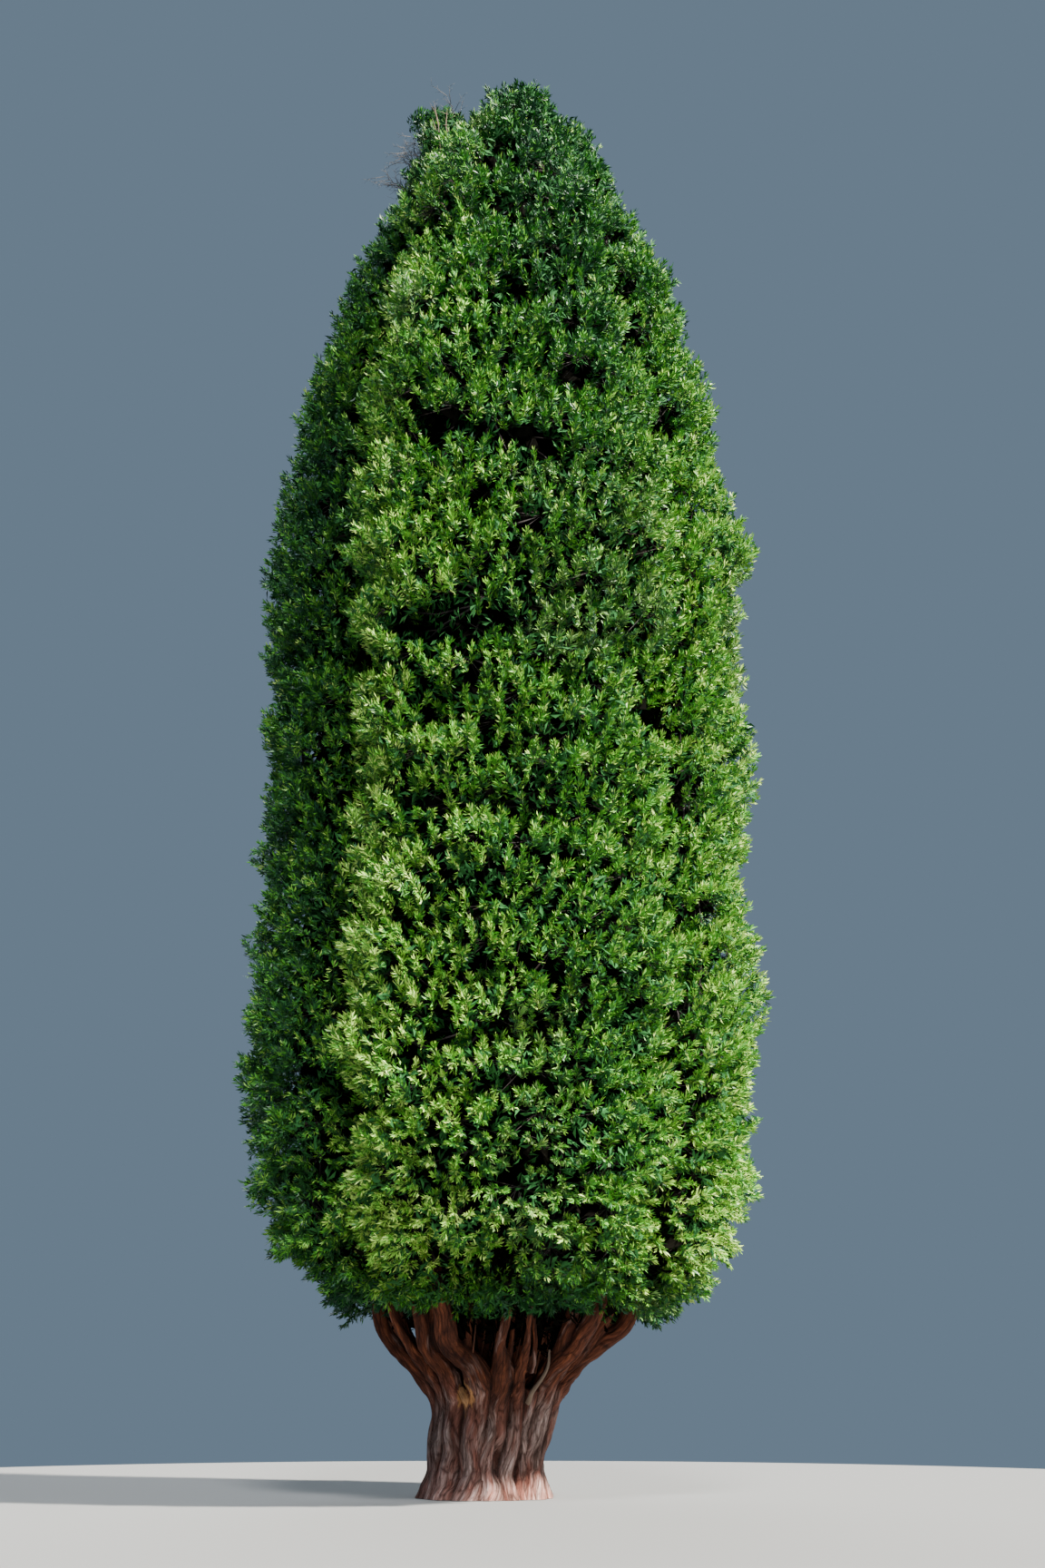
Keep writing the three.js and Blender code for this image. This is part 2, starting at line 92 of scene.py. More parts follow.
# The tree's own measures, in metres
FORK_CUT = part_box("trunk")[1].z
LEAN = [(0, 0), (0.43, 0), (1.1, 0.11), (1.93, 0.19), (3, 0.27), (TREE_HEIGHT, 0.27)]
TRUNK_PROFILE = [(-0.2, 0.98), (0, 0.93), (0.15, 0.86), (0.43, 0.785), (1, 0.865), (1.3, 0.925), (1.5, 0.91)]
CROWN_PROFILE = [
    (2.4, 2.3), (2.7, 2.9), (3.1, 3.35), (3.6, 3.7), (4.4, 3.93), (7, 4.03),
    (10.5, 3.92), (14.3, 4.06), (17, 3.6), (19.5, 2.85), (20.6, 2.48), (21.3, 1.95),
]
LOBES = ["front", "right", "back_right", "back_left", "left"]
LOBE_ANGLE = math.tau / len(LOBES)
FIRST_LOBE = math.radians(-5)
LOBE_DEPTH = 0.15
FOLIAGE_FILL = [
    (-180, 0), (-54, 0), (-46, -0.08), (-41, 0.08), (-36, 0.34), (-28, 0.26), (-18, 0.06), (-8, 0),
    (12, 0), (24, 0.32), (31, 0.48), (38, 0.2), (46, -0.28), (54, -0.08), (62, 0), (180, 0),
]
SKIRT_BOTTOM = 2.45
SKIRT_TOP = 5.2
STOREYS = 5
STOREY_TOP = 21.3
STOREY_HEIGHT = (STOREY_TOP - SKIRT_TOP) / STOREYS
LOBE_STAGGER = [-0.5, 0.55, -0.2, 0.7, 0.15]
MASS_INNER_SHARE = 0.58
SPRAY_CLIMB = [(2.45, -38), (4.3, 4), (6.5, 44), (21.3, 62)]

# Each bough: bearing at its foot and above, radius at the fork, distance out at the rim, a tall one's lobe
BOUGHS = [
    (-80, -80, 0.160, 1.79, 4),
    (-62, -60, 0.105, 1.75, None),
    (-43, -42, 0.150, 1.68, None),
    (-14, -28, 0.190, 1.70, None),
    (3, 3, 0.150, 1.60, 0),
    (25, 15, 0.095, 1.60, None),
    (57, 47, 0.185, 1.78, None),
    (75, 76, 0.175, 1.89, 1),
    (108, 110, 0.170, 1.73, None),
    (141, 141, 0.180, 1.68, 2),
    (176, 176, 0.160, 1.73, None),
    (-148, -148, 0.180, 1.68, 3),
    (-114, -114, 0.165, 1.73, None),
]
BOUGH_FOOT = (0.62, 0.38)
BOUGH_KNEE = (1.26, 0.69)
BOUGH_AT_FORK = 1.05
RIM_HEIGHT = 2.45
SHORT_TIP = (3.15, 2.06, 0.62)
TALL_REACH = 1.65
TALL_TIP_RADIUS = 0.07
TALL_TIP = [20.3, 20.5, 20.2, 20.4, 21.25]
TALL_TIP_REACH = [1.0, 1.05, 0.95, 1.0, 1.02]
LEADER_PATH = [(0.12, 0.06, 0.7), (0.2, 0.06, 1.75), (0.28, 0.04, 6), (0.3, 0.04, 14), (0.37, 0.06, 21.45)]
LEADER_RADII = [0.25, 0.23, 0.195, 0.14, 0.08]

# The two tops: axis, depth for width, side of the parting plane, the tip's offset, tuft sizes, limb, outline
TOPS = {
    "top_main": dict(
        x=0.37, y=0.06, depth=1.0, side=1, skew=-0.22, size=0.8, slim=0.26, limb=len(BOUGHS),
        profile=[(21.34, 1.9), (22.05, 1.62), (22.75, 1.3), (23.17, 0.9), (23.6, 0.45), (TREE_HEIGHT, 0.05)],
    ),
    "top_left": dict(
        x=-0.83, y=-0.1, depth=1.8, side=-1, skew=-0.08, size=0.62, slim=0.6, limb=0,
        profile=[(21.34, 0.8), (22.0, 0.56), (22.75, 0.42), (23.35, 0.1)],
    ),
}
TOPS_PARTING = -0.49
BETWEEN_TOPS = [((-0.52, -0.35, 22.72), 0.5), ((-0.45, 0.3, 22.9), 0.5)]
DEAD_TWIG_TIPS = [(-1.68, -0.45, 21.62), (-1.5, -0.35, 22.45), (-1.55, -0.3, 22.2), (-0.95, 0.0, 23.3)]
# One seed for each kind of random draw
SEEDS = {
    "tufts": 11, "branchlets": 23, "sprays": 37, "shapes": 43, "inner": 53, "shell": 57, "vase": 59,
    "twigs": 61, "dead twigs": 71, "bare stems": 77, "shoots": 83,
}


# Numbers and shapes

def along(table, at):
    """The value of a table of (at, value) pairs, in straight lines between them."""
    return np.interp(at, [row[0] for row in table], [row[1] for row in table])


def wrapped(angle):
    return angle - math.tau * np.round(angle / math.tau)


def unit(v):
    return v / np.maximum(np.linalg.norm(v, axis=-1, keepdims=True), 1e-9)


def points_at(x, y, z):
    """Points from their coordinates, each a number or an array."""
    return np.stack(np.broadcast_arrays(x, y, z), -1)


def polar(bearing, radius, height, x=None, y=0.0):
    """The point at a bearing, a distance from the tree's axis and a height."""
    x = along(LEAN, height) if x is None else x
    return points_at(x + radius * np.sin(bearing), y - radius * np.cos(bearing), height)


def outward(bearing, climb):
    """The direction away from the axis at a bearing, rising by an angle."""
    level = np.cos(climb)
    return points_at(np.sin(bearing) * level, -np.cos(bearing) * level, np.sin(climb))


def bearing_of(points):
    """Each point's bearing round the leaning axis."""
    return np.arctan2(points[:, 0] - along(LEAN, points[:, 2]), -points[:, 1])


def square_to(facing, direction):
    """Each facing turned square to its direction."""
    return unit(facing - direction * (facing * direction).sum(1)[:, None])


def crown_radius(bearing, height):
    lobe = (bearing - FIRST_LOBE) / LOBE_ANGLE
    across = 2 * (lobe - np.round(lobe))
    return along(CROWN_PROFILE, height) * (1 - LOBE_DEPTH * np.abs(across) ** 3)


def foliage_radius(bearing, height):
    """The crown's radius with the foliage's own fill and furrows beside the lobes' middle lines."""
    return crown_radius(bearing, height) + np.interp(np.degrees(wrapped(bearing)), *zip(*FOLIAGE_FILL))


def lobe_centre(lobe):
    return FIRST_LOBE + lobe * LOBE_ANGLE


# Large odd factors that mix the numbers of a noise cell
CELL_FACTORS = (374761393, 668265263, 1274126177)
SEED_FACTOR = 974711
MIXING_FACTOR = 1103515245
SEED_SHIFT = 17.31


@np.errstate(over="ignore")
def lattice_noise(points, size, seed):
    """Smooth noise from -1 to 1 at each point, with lumps of about `size`."""
    p = np.asarray(points, float) / size + seed * SEED_SHIFT
    cell = np.floor(p).astype(np.int64)
    f = p - cell
    f = f * f * (3 - 2 * f)
    total = np.zeros(p.shape[:-1])
    for corner in np.ndindex(2, 2, 2):
        c = cell + np.array(corner)
        mixed = sum(c[..., i] * factor for i, factor in enumerate(CELL_FACTORS)) + seed * SEED_FACTOR
        mixed = (mixed ^ (mixed >> 13)) * MIXING_FACTOR
        value = ((mixed ^ (mixed >> 16)) & 0xFFFF) / 32767.5 - 1
        weight = np.prod(np.where(np.array(corner) == 1, f, 1 - f), axis=-1)
        total += value * weight
    return total


def curve_points(points, steps_each):
    """Points along a centripetal Catmull-Rom curve through the given ones."""
    p = np.asarray(points, float)
    p = np.vstack([2 * p[0] - p[1], p, 2 * p[-1] - p[-2]])
    made = []
    for i in range(1, len(p) - 2):
        gaps = [np.linalg.norm(p[i + k] - p[i + k - 1]) ** 0.5 for k in range(3)]
        a, b, c = gaps
        t1 = ((p[i] - p[i - 1]) / a - (p[i + 1] - p[i - 1]) / (a + b) + (p[i + 1] - p[i]) / b) * b
        t2 = ((p[i + 1] - p[i]) / b - (p[i + 2] - p[i]) / (b + c) + (p[i + 2] - p[i + 1]) / c) * b
        t = (np.arange(steps_each) / steps_each)[:, None]
        jump = p[i + 1] - p[i]
        made.append(p[i] + t1 * t + (3 * jump - 2 * t1 - t2) * t**2 + (t1 + t2 - 2 * jump) * t**3)
    made.append(p[-2][None])
    return np.vstack(made)


def smooth_path(points, radii, steps):
    """A smooth path through some points, and the radius at each point of it."""
    path = curve_points(points, steps)
    return path, np.interp(np.arange(len(path)) / steps, np.arange(len(radii)), radii)


def tube_frames(path):
    """Tangent, side and upper side at each point of a path, without twist."""
    tangents = unit(np.gradient(path, axis=0))
    side = np.cross(tangents[0], (0, 1, 0) if abs(tangents[0][1]) < 0.8 else (1, 0, 0))
    sides = []
    for tangent in tangents:
        side = unit(side - tangent * np.dot(side, tangent))
        sides.append(side)
    sides = np.array(sides)
    return tangents, sides, np.cross(tangents, sides)


def ring_angles(sides, rings=1):
    """The angle of each vertex round a tube, ring after ring."""
    return np.tile(np.arange(sides) * math.tau / sides, rings)


def tube_faces(rings, sides):
    """The faces of a closed tube: its walls, ring by ring, and its two ends."""
    walls = [
        (j * sides + i, j * sides + (i + 1) % sides, (j + 1) * sides + (i + 1) % sides, (j + 1) * sides + i)
        for j in range(rings - 1)
        for i in range(sides)
    ]
    last = (rings - 1) * sides
    return walls + [tuple(range(sides))[::-1], tuple(range(last, last + sides))]


def tube(path, radii, sides):
    """Vertices and faces of a closed tube along a path, with the radius of each ring."""
    _, normal, binormal = tube_frames(path)
    angles = ring_angles(sides)
    ring = np.cos(angles)[:, None, None] * normal + np.sin(angles)[:, None, None] * binormal
    vertices = (path + ring * np.asarray(radii)[:, None]).transpose(1, 0, 2).reshape(-1, 3)
    return vertices, tube_faces(len(path), sides)


def linked(name, mesh, material=None):
    """A new object in the scene for a mesh."""
    made = bpy.data.objects.new(name, mesh)
    bpy.context.scene.collection.objects.link(made)
    if material:
        mesh.materials.append(material)
    return made


def mesh_object(name, vertices, faces, material=None):
    mesh = bpy.data.meshes.new(name)
    mesh.from_pydata([tuple(v) for v in vertices], [], faces)
    return linked(name, mesh, material)


def triangle_object(name, vertices, triangles, material):
    """One mesh object from an array of vertices and an array of triangles."""
    mesh = bpy.data.meshes.new(name)
    mesh.vertices.add(len(vertices))
    mesh.vertices.foreach_set("co", np.ascontiguousarray(vertices, np.float32).ravel())
    mesh.loops.add(triangles.size)
    mesh.loops.foreach_set("vertex_index", np.ascontiguousarray(triangles, np.int32).ravel())
    mesh.polygons.add(len(triangles))
    mesh.polygons.foreach_set("loop_start", np.arange(len(triangles), dtype=np.int32) * 3)
    mesh.update(calc_edges=True)
    return linked(name, mesh, material)


def copied(item):
    """A copy of an object, with a mesh of its own."""
    made = item.copy()
    made.data = item.data.copy()
    bpy.context.scene.collection.objects.link(made)
    return made


def deselect_all():
    for item in bpy.context.view_layer.objects:
        item.select_set(False)


def activate(*objects):
    deselect_all()
    for item in objects:
        item.select_set(True)
    bpy.context.view_layer.objects.active = objects[0]


def apply_modifier(item, kind, **settings):
    activate(item)
    modifier = item.modifiers.new(kind.lower(), kind)
    for key, value in settings.items():
        setattr(modifier, key, value)
    bpy.ops.object.modifier_apply(modifier=modifier.name)


def smooth(item, degrees):
    """Shades an object smooth, but for edges sharper than an angle."""
    activate(item)
    bpy.ops.object.shade_smooth_by_angle(angle=math.radians(degrees))


def vertex_array(item, what="co"):
    """The place of each vertex, or its normal."""
    flat = np.zeros(len(item.data.vertices) * 3, np.float32)
    item.data.vertices.foreach_get(what, flat)
    return flat.reshape(-1, 3).astype(float)


def set_vertices(item, points):
    item.data.vertices.foreach_set("co", np.ascontiguousarray(points, np.float32).ravel())
    item.data.update()


def add_attribute(item, name, values):
    """A number, or a vector, for each vertex."""
    kind, field = ("FLOAT", "value") if np.ndim(values) == 1 else ("FLOAT_VECTOR", "vector")
    layer = item.data.attributes.new(name, kind, "POINT")
    layer.data.foreach_set(field, np.ascontiguousarray(values, np.float32).ravel())


def keep_height(item, low, high):
    """Cuts a closed mesh level and keeps what lies between two heights, with the cuts closed."""
    for height, upper in ((low, False), (high, True)):
        activate(item)
        bpy.ops.object.mode_set(mode="EDIT")
        bpy.ops.mesh.select_all(action="SELECT")
        bpy.ops.mesh.bisect(
            plane_co=(0, 0, height),
            plane_no=(0, 0, 1),
            use_fill=True,
            clear_inner=not upper,
            clear_outer=upper,
        )
        bpy.ops.object.mode_set(mode="OBJECT")


# Shaders

# Outputs of the Attribute and Texture Coordinate nodes, and the colour sockets of a Mix node
ATTRIBUTE_VECTOR = 1
ATTRIBUTE_VALUE = 2
OBJECT_PLACE = 3
MIX_INPUTS = (0, 6, 7)
MIX_OUTPUT = 2


class Value:
    """A shader socket that takes part in sums."""

    def __init__(self, shader, socket):
        self.shader = shader
        self.socket = socket

    def _math(self, operation, *values):
        return self.shader.node("ShaderNodeMath", {"operation": operation}, *values)

    def __add__(self, other):
        return self._math("ADD", self, other)

    def __sub__(self, other):
        return self._math("SUBTRACT", self, other)

    def __rsub__(self, other):
        return self._math("SUBTRACT", other, self)

    def __mul__(self, other):
        return self._math("MULTIPLY", self, other)

    def clamped(self):
        return self.shader.node("ShaderNodeClamp", {}, self)

    __radd__ = __add__
    __rmul__ = __mul__


class Shader:
    """A material whose nodes are added by name, with their settings and the values of their sockets."""

    def __init__(self, name):
        self.material = bpy.data.materials.new(name)
        self.material.use_nodes = True
        self.tree = self.material.node_tree
        self.surface = self.tree.nodes["Principled BSDF"]

    def node(self, kind, settings, *values, output=0, **named):
        made = self.tree.nodes.new(kind)
        for key, value in settings.items():
            if key == "stops":
                elements = made.color_ramp.elements
                while len(elements) < len(value):
                    elements.new(0.5)
                for element, (position, colour) in zip(elements, value):
                    element.position = position
                    element.color = (*colour, 1)
            else:
                setattr(made, key, value)
        for i, value in enumerate(values):
            self.feed(made.inputs[i], value)
        for key, value in named.items():
            self.feed(made.inputs[key.replace("_", " ")], value)
        return Value(self, made.outputs[output])

    def feed(self, socket, value):
        if isinstance(value, Value):
            self.tree.links.new(value.socket, socket)
        elif hasattr(value, "__len__") and len(value) == 3 and socket.type == "RGBA":
            socket.default_value = (*value, 1)
        else:
            socket.default_value = value

    def set(self, **named):
        for key, value in named.items():
            self.feed(self.surface.inputs[key.replace("_", " ")], value)

    def attribute(self, name, output=ATTRIBUTE_VALUE):
        return self.node("ShaderNodeAttribute", {"attribute_name": name}, output=output)

    def mapped(self, vector, stretch):
        return self.node("ShaderNodeMapping", {}, Vector=vector, Scale=stretch)

    def noise(self, vector, stretch, detail=2.0, roughness=0.5):
        """Noise with a scale of its own along each axis."""
        place = self.mapped(vector, stretch)
        sockets = dict(Vector=place, Scale=1.0, Detail=detail, Roughness=roughness)
        return self.node("ShaderNodeTexNoise", {}, **sockets)

    def cracks(self, vector, scale):
        """The distance to the edges of a pattern of cells."""
        return self.node("ShaderNodeTexVoronoi", {"feature": "DISTANCE_TO_EDGE"}, Vector=vector, Scale=scale)

    def ramp(self, value, stops):
        return self.node("ShaderNodeValToRGB", {"stops": stops}, value)

    def mix(self, factor, a, b, blend="MIX"):
        made = self.tree.nodes.new("ShaderNodeMix")
        made.data_type = "RGBA"
        made.blend_type = blend
        for number, value in zip(MIX_INPUTS, (factor, a, b)):
            self.feed(made.inputs[number], value)
        return Value(self, made.outputs[MIX_OUTPUT])

    def times(self, a, b, factor=1.0):
        """One colour multiplied by another, as far as the factor says."""
        return self.mix(factor, a, b, "MULTIPLY")


def scaled(colour, share):
    return tuple(c * share for c in colour)


def tinted(colour, tint):
    return tuple(c * t for c, t in zip(colour, tint))


# Scales of the patterns in bark and wood: across the grain, along it, and from limb to limb
STRIP_SCALE = (20, 2.6, 3)
FIBRE_SCALE = (80, 7, 3)
PATCH_SCALE = (5, 1.2, 1)
BLOTCH_SCALE = (7, 1.5, 2)
CRACK_SCALE = (11, 1.7, 3)
FINE_CRACKS = 2.6
DEAD_WOOD_SCALE = (60, 3, 1)
TWIG_SCALE = (6, 6, 2)
# Tones that multiply the bark's colour, each with its place on the pattern that it follows: painted shade in
# the cracks, furrows and creases, painted highlight on the proudest places, and blotches at random
CRACK_PAINTED_SHADE = [(0.0, (0.36, 0.3, 0.28)), (0.08, (1, 1, 1))]
FINE_CRACK_PAINTED_SHADE = [(0.0, (0.62, 0.57, 0.55)), (0.12, (1, 1, 1))]
BLOTCH_TONES = [(0.32, (0.5, 0.42, 0.39)), (0.48, (0.95, 0.92, 0.9)), (0.68, (1.35, 1.3, 1.3))]
FURROW_PAINTED_SHADE = [(0.0, (0.34, 0.28, 0.26)), (0.3, (0.78, 0.74, 0.72)), (0.65, (1, 1, 1))]
CREASE_PAINTED_SHADE_AND_HIGHLIGHT = [
    (0.08, (0.05, 0.035, 0.03)), (0.36, (0.55, 0.48, 0.45)), (0.5, (1, 1, 1)), (0.85, (1.25, 1.25, 1.25)),
]
RUST_DARK = (0.5, 0.27, 0.23)
RUST_LIGHT = (0.7, 0.4, 0.33)
# Painted sunlight: how much paler the sunny side of the foot is.
FOOT_SUNLIGHT_TONE = (1.3, 1.22, 1.15)
BARK_GLOSS = 0.25
# How much height, patches and proud places add to the worn grey of the bark, and the least that shows
WORN_BY_HEIGHT = 1.1
WORN_BY_PATCHES = 5.0
WORN_WHERE_PROUD = 0.6
LEAST_WORN = 0.5


def bark_material(colours):
    """Fibrous bark: grey and weathered low on the trunk, orange-brown on the boughs, with painted shade in
    its furrows, creases and cracks, painted highlight on its proudest places, and painted sunlight on the
    sunny side of its foot.
    """
    shader = Shader("cedar_bark")
    grain = shader.attribute("grain", ATTRIBUTE_VECTOR)
    relief, weather, proud, torn, dust = map(shader.attribute, ("relief", "weather", "proud", "torn", "dust"))
    strips = shader.noise(grain, STRIP_SCALE, 5.0, 0.6)
    fibres = shader.noise(grain, FIBRE_SCALE, 3.0, 0.65)
    patches = shader.noise(grain, PATCH_SCALE, 3.0, 0.6)
    blotch = shader.noise(grain, BLOTCH_SCALE, 3.0, 0.6)
    scales = shader.mapped(shader.mix(0.08, grain, strips), CRACK_SCALE)
    cracks = shader.cracks(scales, 1.0)
    # Painted shade in the cracks between the bark's plates, at two scales.
    fine_cracks = shader.ramp(shader.cracks(scales, FINE_CRACKS), FINE_CRACK_PAINTED_SHADE)
    split = shader.times(shader.ramp(cracks, CRACK_PAINTED_SHADE), fine_cracks)
    streak = strips * 0.65 + fibres * 0.35
    fresh = shader.ramp(streak, [
        (0.3, scaled(colours.bough, 0.3)),
        (0.46, tuple(colours.bough)),
        (0.6, tuple(colours.bough_light)),
        (0.72, tuple(colours.strip)),
    ])
    aged = shader.ramp(streak, [
        (0.28, scaled(colours.trunk, 0.5)),
        (0.45, tuple(colours.trunk)),
        (0.62, tuple(colours.trunk_light)),
        (0.78, scaled(colours.trunk_light, 1.3)),
    ])
    rust = shader.ramp(streak, [
        (0.3, tinted(colours.trunk, RUST_DARK)),
        (0.7, tinted(colours.trunk_light, RUST_LIGHT)),
    ])
    worn = weather * WORN_BY_HEIGHT + (patches - 0.5) * WORN_BY_PATCHES + (proud - 0.5) * WORN_WHERE_PROUD
    worn = (worn - LEAST_WORN).clamped()
    colour = shader.mix(worn, shader.mix(weather, fresh, rust), aged)
    colour = shader.times(colour, shader.ramp(blotch, BLOTCH_TONES))
    # Painted shade in the furrows between the ridges.
    colour = shader.times(colour, shader.ramp(relief, FURROW_PAINTED_SHADE))
    # Painted shade in the creases between the columns and painted highlight on the proudest places, less of
    # both low on the trunk.
    colour = shader.times(colour, shader.ramp(proud, CREASE_PAINTED_SHADE_AND_HIGHLIGHT), 1.0 - weather * 0.35)
    colour = shader.times(colour, split)
    # Painted sunlight: the foot is paler on its sunny side.
    colour = shader.times(colour, FOOT_SUNLIGHT_TONE, dust)
    wood = [(0.4, scaled(colours.torn_wood, 0.12)), (0.55, tuple(colours.torn_wood))]
    colour = shader.mix(torn, colour, shader.ramp(fibres * 0.5 + strips * 0.5, wood))
    height = strips * 0.6 + fibres * 0.4 + (cracks * 4.0).clamped() * 0.5
    bump = shader.node("ShaderNodeBump", {}, Strength=0.9, Distance=0.03, Height=height)
    shader.set(Base_Color=colour, Roughness=fibres * 0.2 + 0.78, Normal=bump, Specular_IOR_Level=BARK_GLOSS)
    return shader.material


def dead_wood_material(name, pale, dark):
    """Bare wood, streaked along its length."""
    shader = Shader(name)
    streak = shader.noise(shader.attribute("grain", ATTRIBUTE_VECTOR), DEAD_WOOD_SCALE, 4.0, 0.6)
    colour = shader.ramp(streak, [(0.32, tuple(dark)), (0.62, tuple(pale))])
    bump = shader.node("ShaderNodeBump", {}, Strength=0.6, Distance=0.008, Height=streak)
    shader.set(Base_Color=colour, Roughness=streak * 0.2 + 0.65, Normal=bump)
    return shader.material


def twig_material(name, colour):
    """Thin brown bark with paler lengths."""
    shader = Shader(name)
    tone = shader.noise(shader.node("ShaderNodeTexCoord", {}, output=OBJECT_PLACE), TWIG_SCALE)
    shade = shader.ramp(tone, [(0.35, scaled(colour, 0.55)), (0.65, scaled(colour, 1.3))])
    shader.set(Base_Color=shade, Roughness=0.85)
    return shader.material


def leaf_material(name, colour, roughness, gloss):
    """Scale leaves: one plain green with a waxy gloss."""
    shader = Shader(name)
    shader.set(Base_Color=tuple(colour), Roughness=roughness, Specular_IOR_Level=gloss)
    return shader.material


# The limbs

# Shares of a bough's radius at its foot, its knee, the fork and the rim, and further up a tall one
BOUGH_SHARES = [1.25, 1.2, 1.0, 0.88]
TALL_SHARES = [0.8, 0.7, 0.55]
RIM_RISE = 1.2
TALL_HEIGHTS = [8.0, 14.0]
LIMB_STEPS = 24


def bough_path(foot, bearing, radius, rim, lobe):
    """Points and radii of a bough, from inside the trunk to its tip."""
    foot, bearing = math.radians(foot), math.radians(bearing)
    points = [
        polar(foot, BOUGH_FOOT[1], BOUGH_FOOT[0]),
        polar(foot, BOUGH_KNEE[1], BOUGH_KNEE[0]),
        polar((foot + bearing) / 2, BOUGH_AT_FORK, FORK_CUT),
        polar(bearing, rim, RIM_HEIGHT),
    ]
    radii = [radius * share for share in BOUGH_SHARES]
    if lobe is None:
        height, reach, share = SHORT_TIP
        return np.array(points + [polar(bearing, reach, height)]), radii + [radius * share]
    in_lobe = bearing + wrapped(lobe_centre(lobe) - bearing) / 2
    points.append(polar(bearing, rim, RIM_HEIGHT + RIM_RISE))
    points += [polar(in_lobe, TALL_REACH, height) for height in TALL_HEIGHTS]
    points.append(polar(in_lobe, TALL_TIP_REACH[lobe], TALL_TIP[lobe]))
    return np.array(points), radii + [radius * share for share in TALL_SHARES] + [TALL_TIP_RADIUS]


@functools.lru_cache(maxsize=None)
def limbs():
    """Every limb's path, as many points, with its radius at each: the boughs, then the leader."""
    made = [bough_path(*bough) for bough in BOUGHS] + [(LEADER_PATH, LEADER_RADII)]
    return [smooth_path(points, radii, LIMB_STEPS) for points, radii in made]


def on_limb(limb, height):
    """The point at a height on a limb's axis."""
    path = limbs()[limb][0]
    return np.array([np.interp(height, path[:, 2], path[:, axis]) for axis in range(3)])


# Columns of wood that run down the trunk under each bough, to their feet in the flare
COLUMN_HEIGHTS = [-0.15, 0.12, 0.35, 0.62, 0.9]
COLUMN_SHARES = [1.5, 1.3, 1.1, 1.05, 1.1]
COLUMN_SINK = 0.5
COLUMN_INSET = 0.03
COLUMN_SWAY = 0.05
# Further columns between them: bearings, radius, sway, and how far out and how high they end
EXTRA_COLUMNS = [-97, -71, 41, 92, 124, 158, -166, -131]
EXTRA_RADIUS = 0.08
EXTRA_SWAY = 0.09
EXTRA_TOP = (0.84, 1.46)
BARK_KNEE = 0.76
# How far each bough's elbow stands aside, to the left where positive, and out, and how thick it is above
ELBOWS = [
    (0.03, 0.13, 0.85), (-0.03, 0.1, 0.85), (0.05, 0.14, 0.9), (0.11, 0, 1), (0.04, 0, 0.62), (-0.03, 0, 0.6),
    (-0.05, 0.02, 0.85), (0.03, 0.02, 0.85), (0.05, 0.05, 0.9), (-0.06, 0.08, 0.9), (0.05, 0.04, 0.9),
    (-0.05, 0.08, 0.9), (0.04, 0.08, 0.9),
]
# How much of an elbow's bend and of its reach already shows at the fork
FORK_BEND = 0.8
FORK_REACH = 0.6
# Shares of a bough's radius that its bark takes at the knee, the fork and the elbow, and above
KNEE_SHARE = 0.95
FORK_SHARE = 0.94
ELBOW_SHARE = 0.45
ABOVE_SHARE = 0.92
# Side limbs low in the vase: x, y, z and radius of each point, from inside the limb that bears each
SIDE_LIMBS = np.array([
    [
        (-0.66, -0.95, 1.98, 0.1), (-0.7, -1.12, 2.25, 0.1),
        (-0.72, -1.28, 2.62, 0.09), (-0.74, -1.42, 3.1, 0.07),
    ],
    [
        (-0.28, -0.98, 1.75, 0.06), (-0.24, -1.12, 2.05, 0.06),
        (-0.2, -1.32, 2.5, 0.05), (-0.2, -1.5, 3.1, 0.04),
    ],
    [(0.26, -1.0, 1.6, 0.05), (0.37, -1.14, 2.0, 0.045), (0.41, -1.3, 2.5, 0.04), (0.44, -1.5, 3.1, 0.03)],
    [(0.66, -0.98, 1.7, 0.05), (0.72, -1.12, 2.1, 0.045), (0.7, -1.28, 2.5, 0.04), (0.74, -1.45, 3.1, 0.03)],
    [(0.95, -0.62, 1.7, 0.13), (1.12, -0.85, 2.1, 0.11), (1.28, -1.05, 2.6, 0.1), (1.4, -1.2, 3.1, 0.07)],
    [(1.15, -0.3, 1.75, 0.12), (1.45, -0.45, 2.1, 0.11), (1.75, -0.6, 2.5, 0.09), (1.95, -0.7, 3.0, 0.06)],
    [(-0.8, -0.4, 1.7, 0.1), (-1.05, -0.62, 2.05, 0.08), (-1.22, -0.8, 2.5, 0.07), (-1.35, -0.9, 3.1, 0.05)],
    [(-0.55, 0.85, 1.75, 0.1), (-0.75, 1.1, 2.2, 0.09), (-0.9, 1.3, 2.7, 0.08), (-1.0, 1.4, 3.1, 0.05)],
    [(0.85, 0.85, 1.75, 0.11), (1.0, 1.15, 2.2, 0.1), (1.15, 1.35, 2.7, 0.08), (1.2, 1.5, 3.1, 0.05)],
])
# Limbs inside the vase: first bearing, distance out and height of each point, and whether it sways in and out
INNER_LIMBS = 11
FIRST_INNER_LIMB = 20
INNER_LIMB_PLACES = [(0.4, 1.2, 0), (0.55, 1.75, 1), (0.8, 2.35, 1), (1.1, 3.2, 1)]
INNER_LIMB_RADII = [0.12, 0.1, 0.08, 0.06]
INNER_LIMB_SWAY = 0.12
STEM_STEPS = 16
STEM_SWELL = 0.11


def column_path(bearing, radius, sway):
    """Points and radii of one column, from its root foot to the height of the knees."""
    points = []
    radii = []
    for i, (height, share) in enumerate(zip(COLUMN_HEIGHTS, COLUMN_SHARES)):
        thick = radius * share
        out = along(TRUNK_PROFILE, height) - COLUMN_INSET - COLUMN_SINK * thick
        points.append(polar(bearing + sway * math.sin(i * 1.7 + bearing * 5), out, height))
        radii.append(thick)
    return points, radii


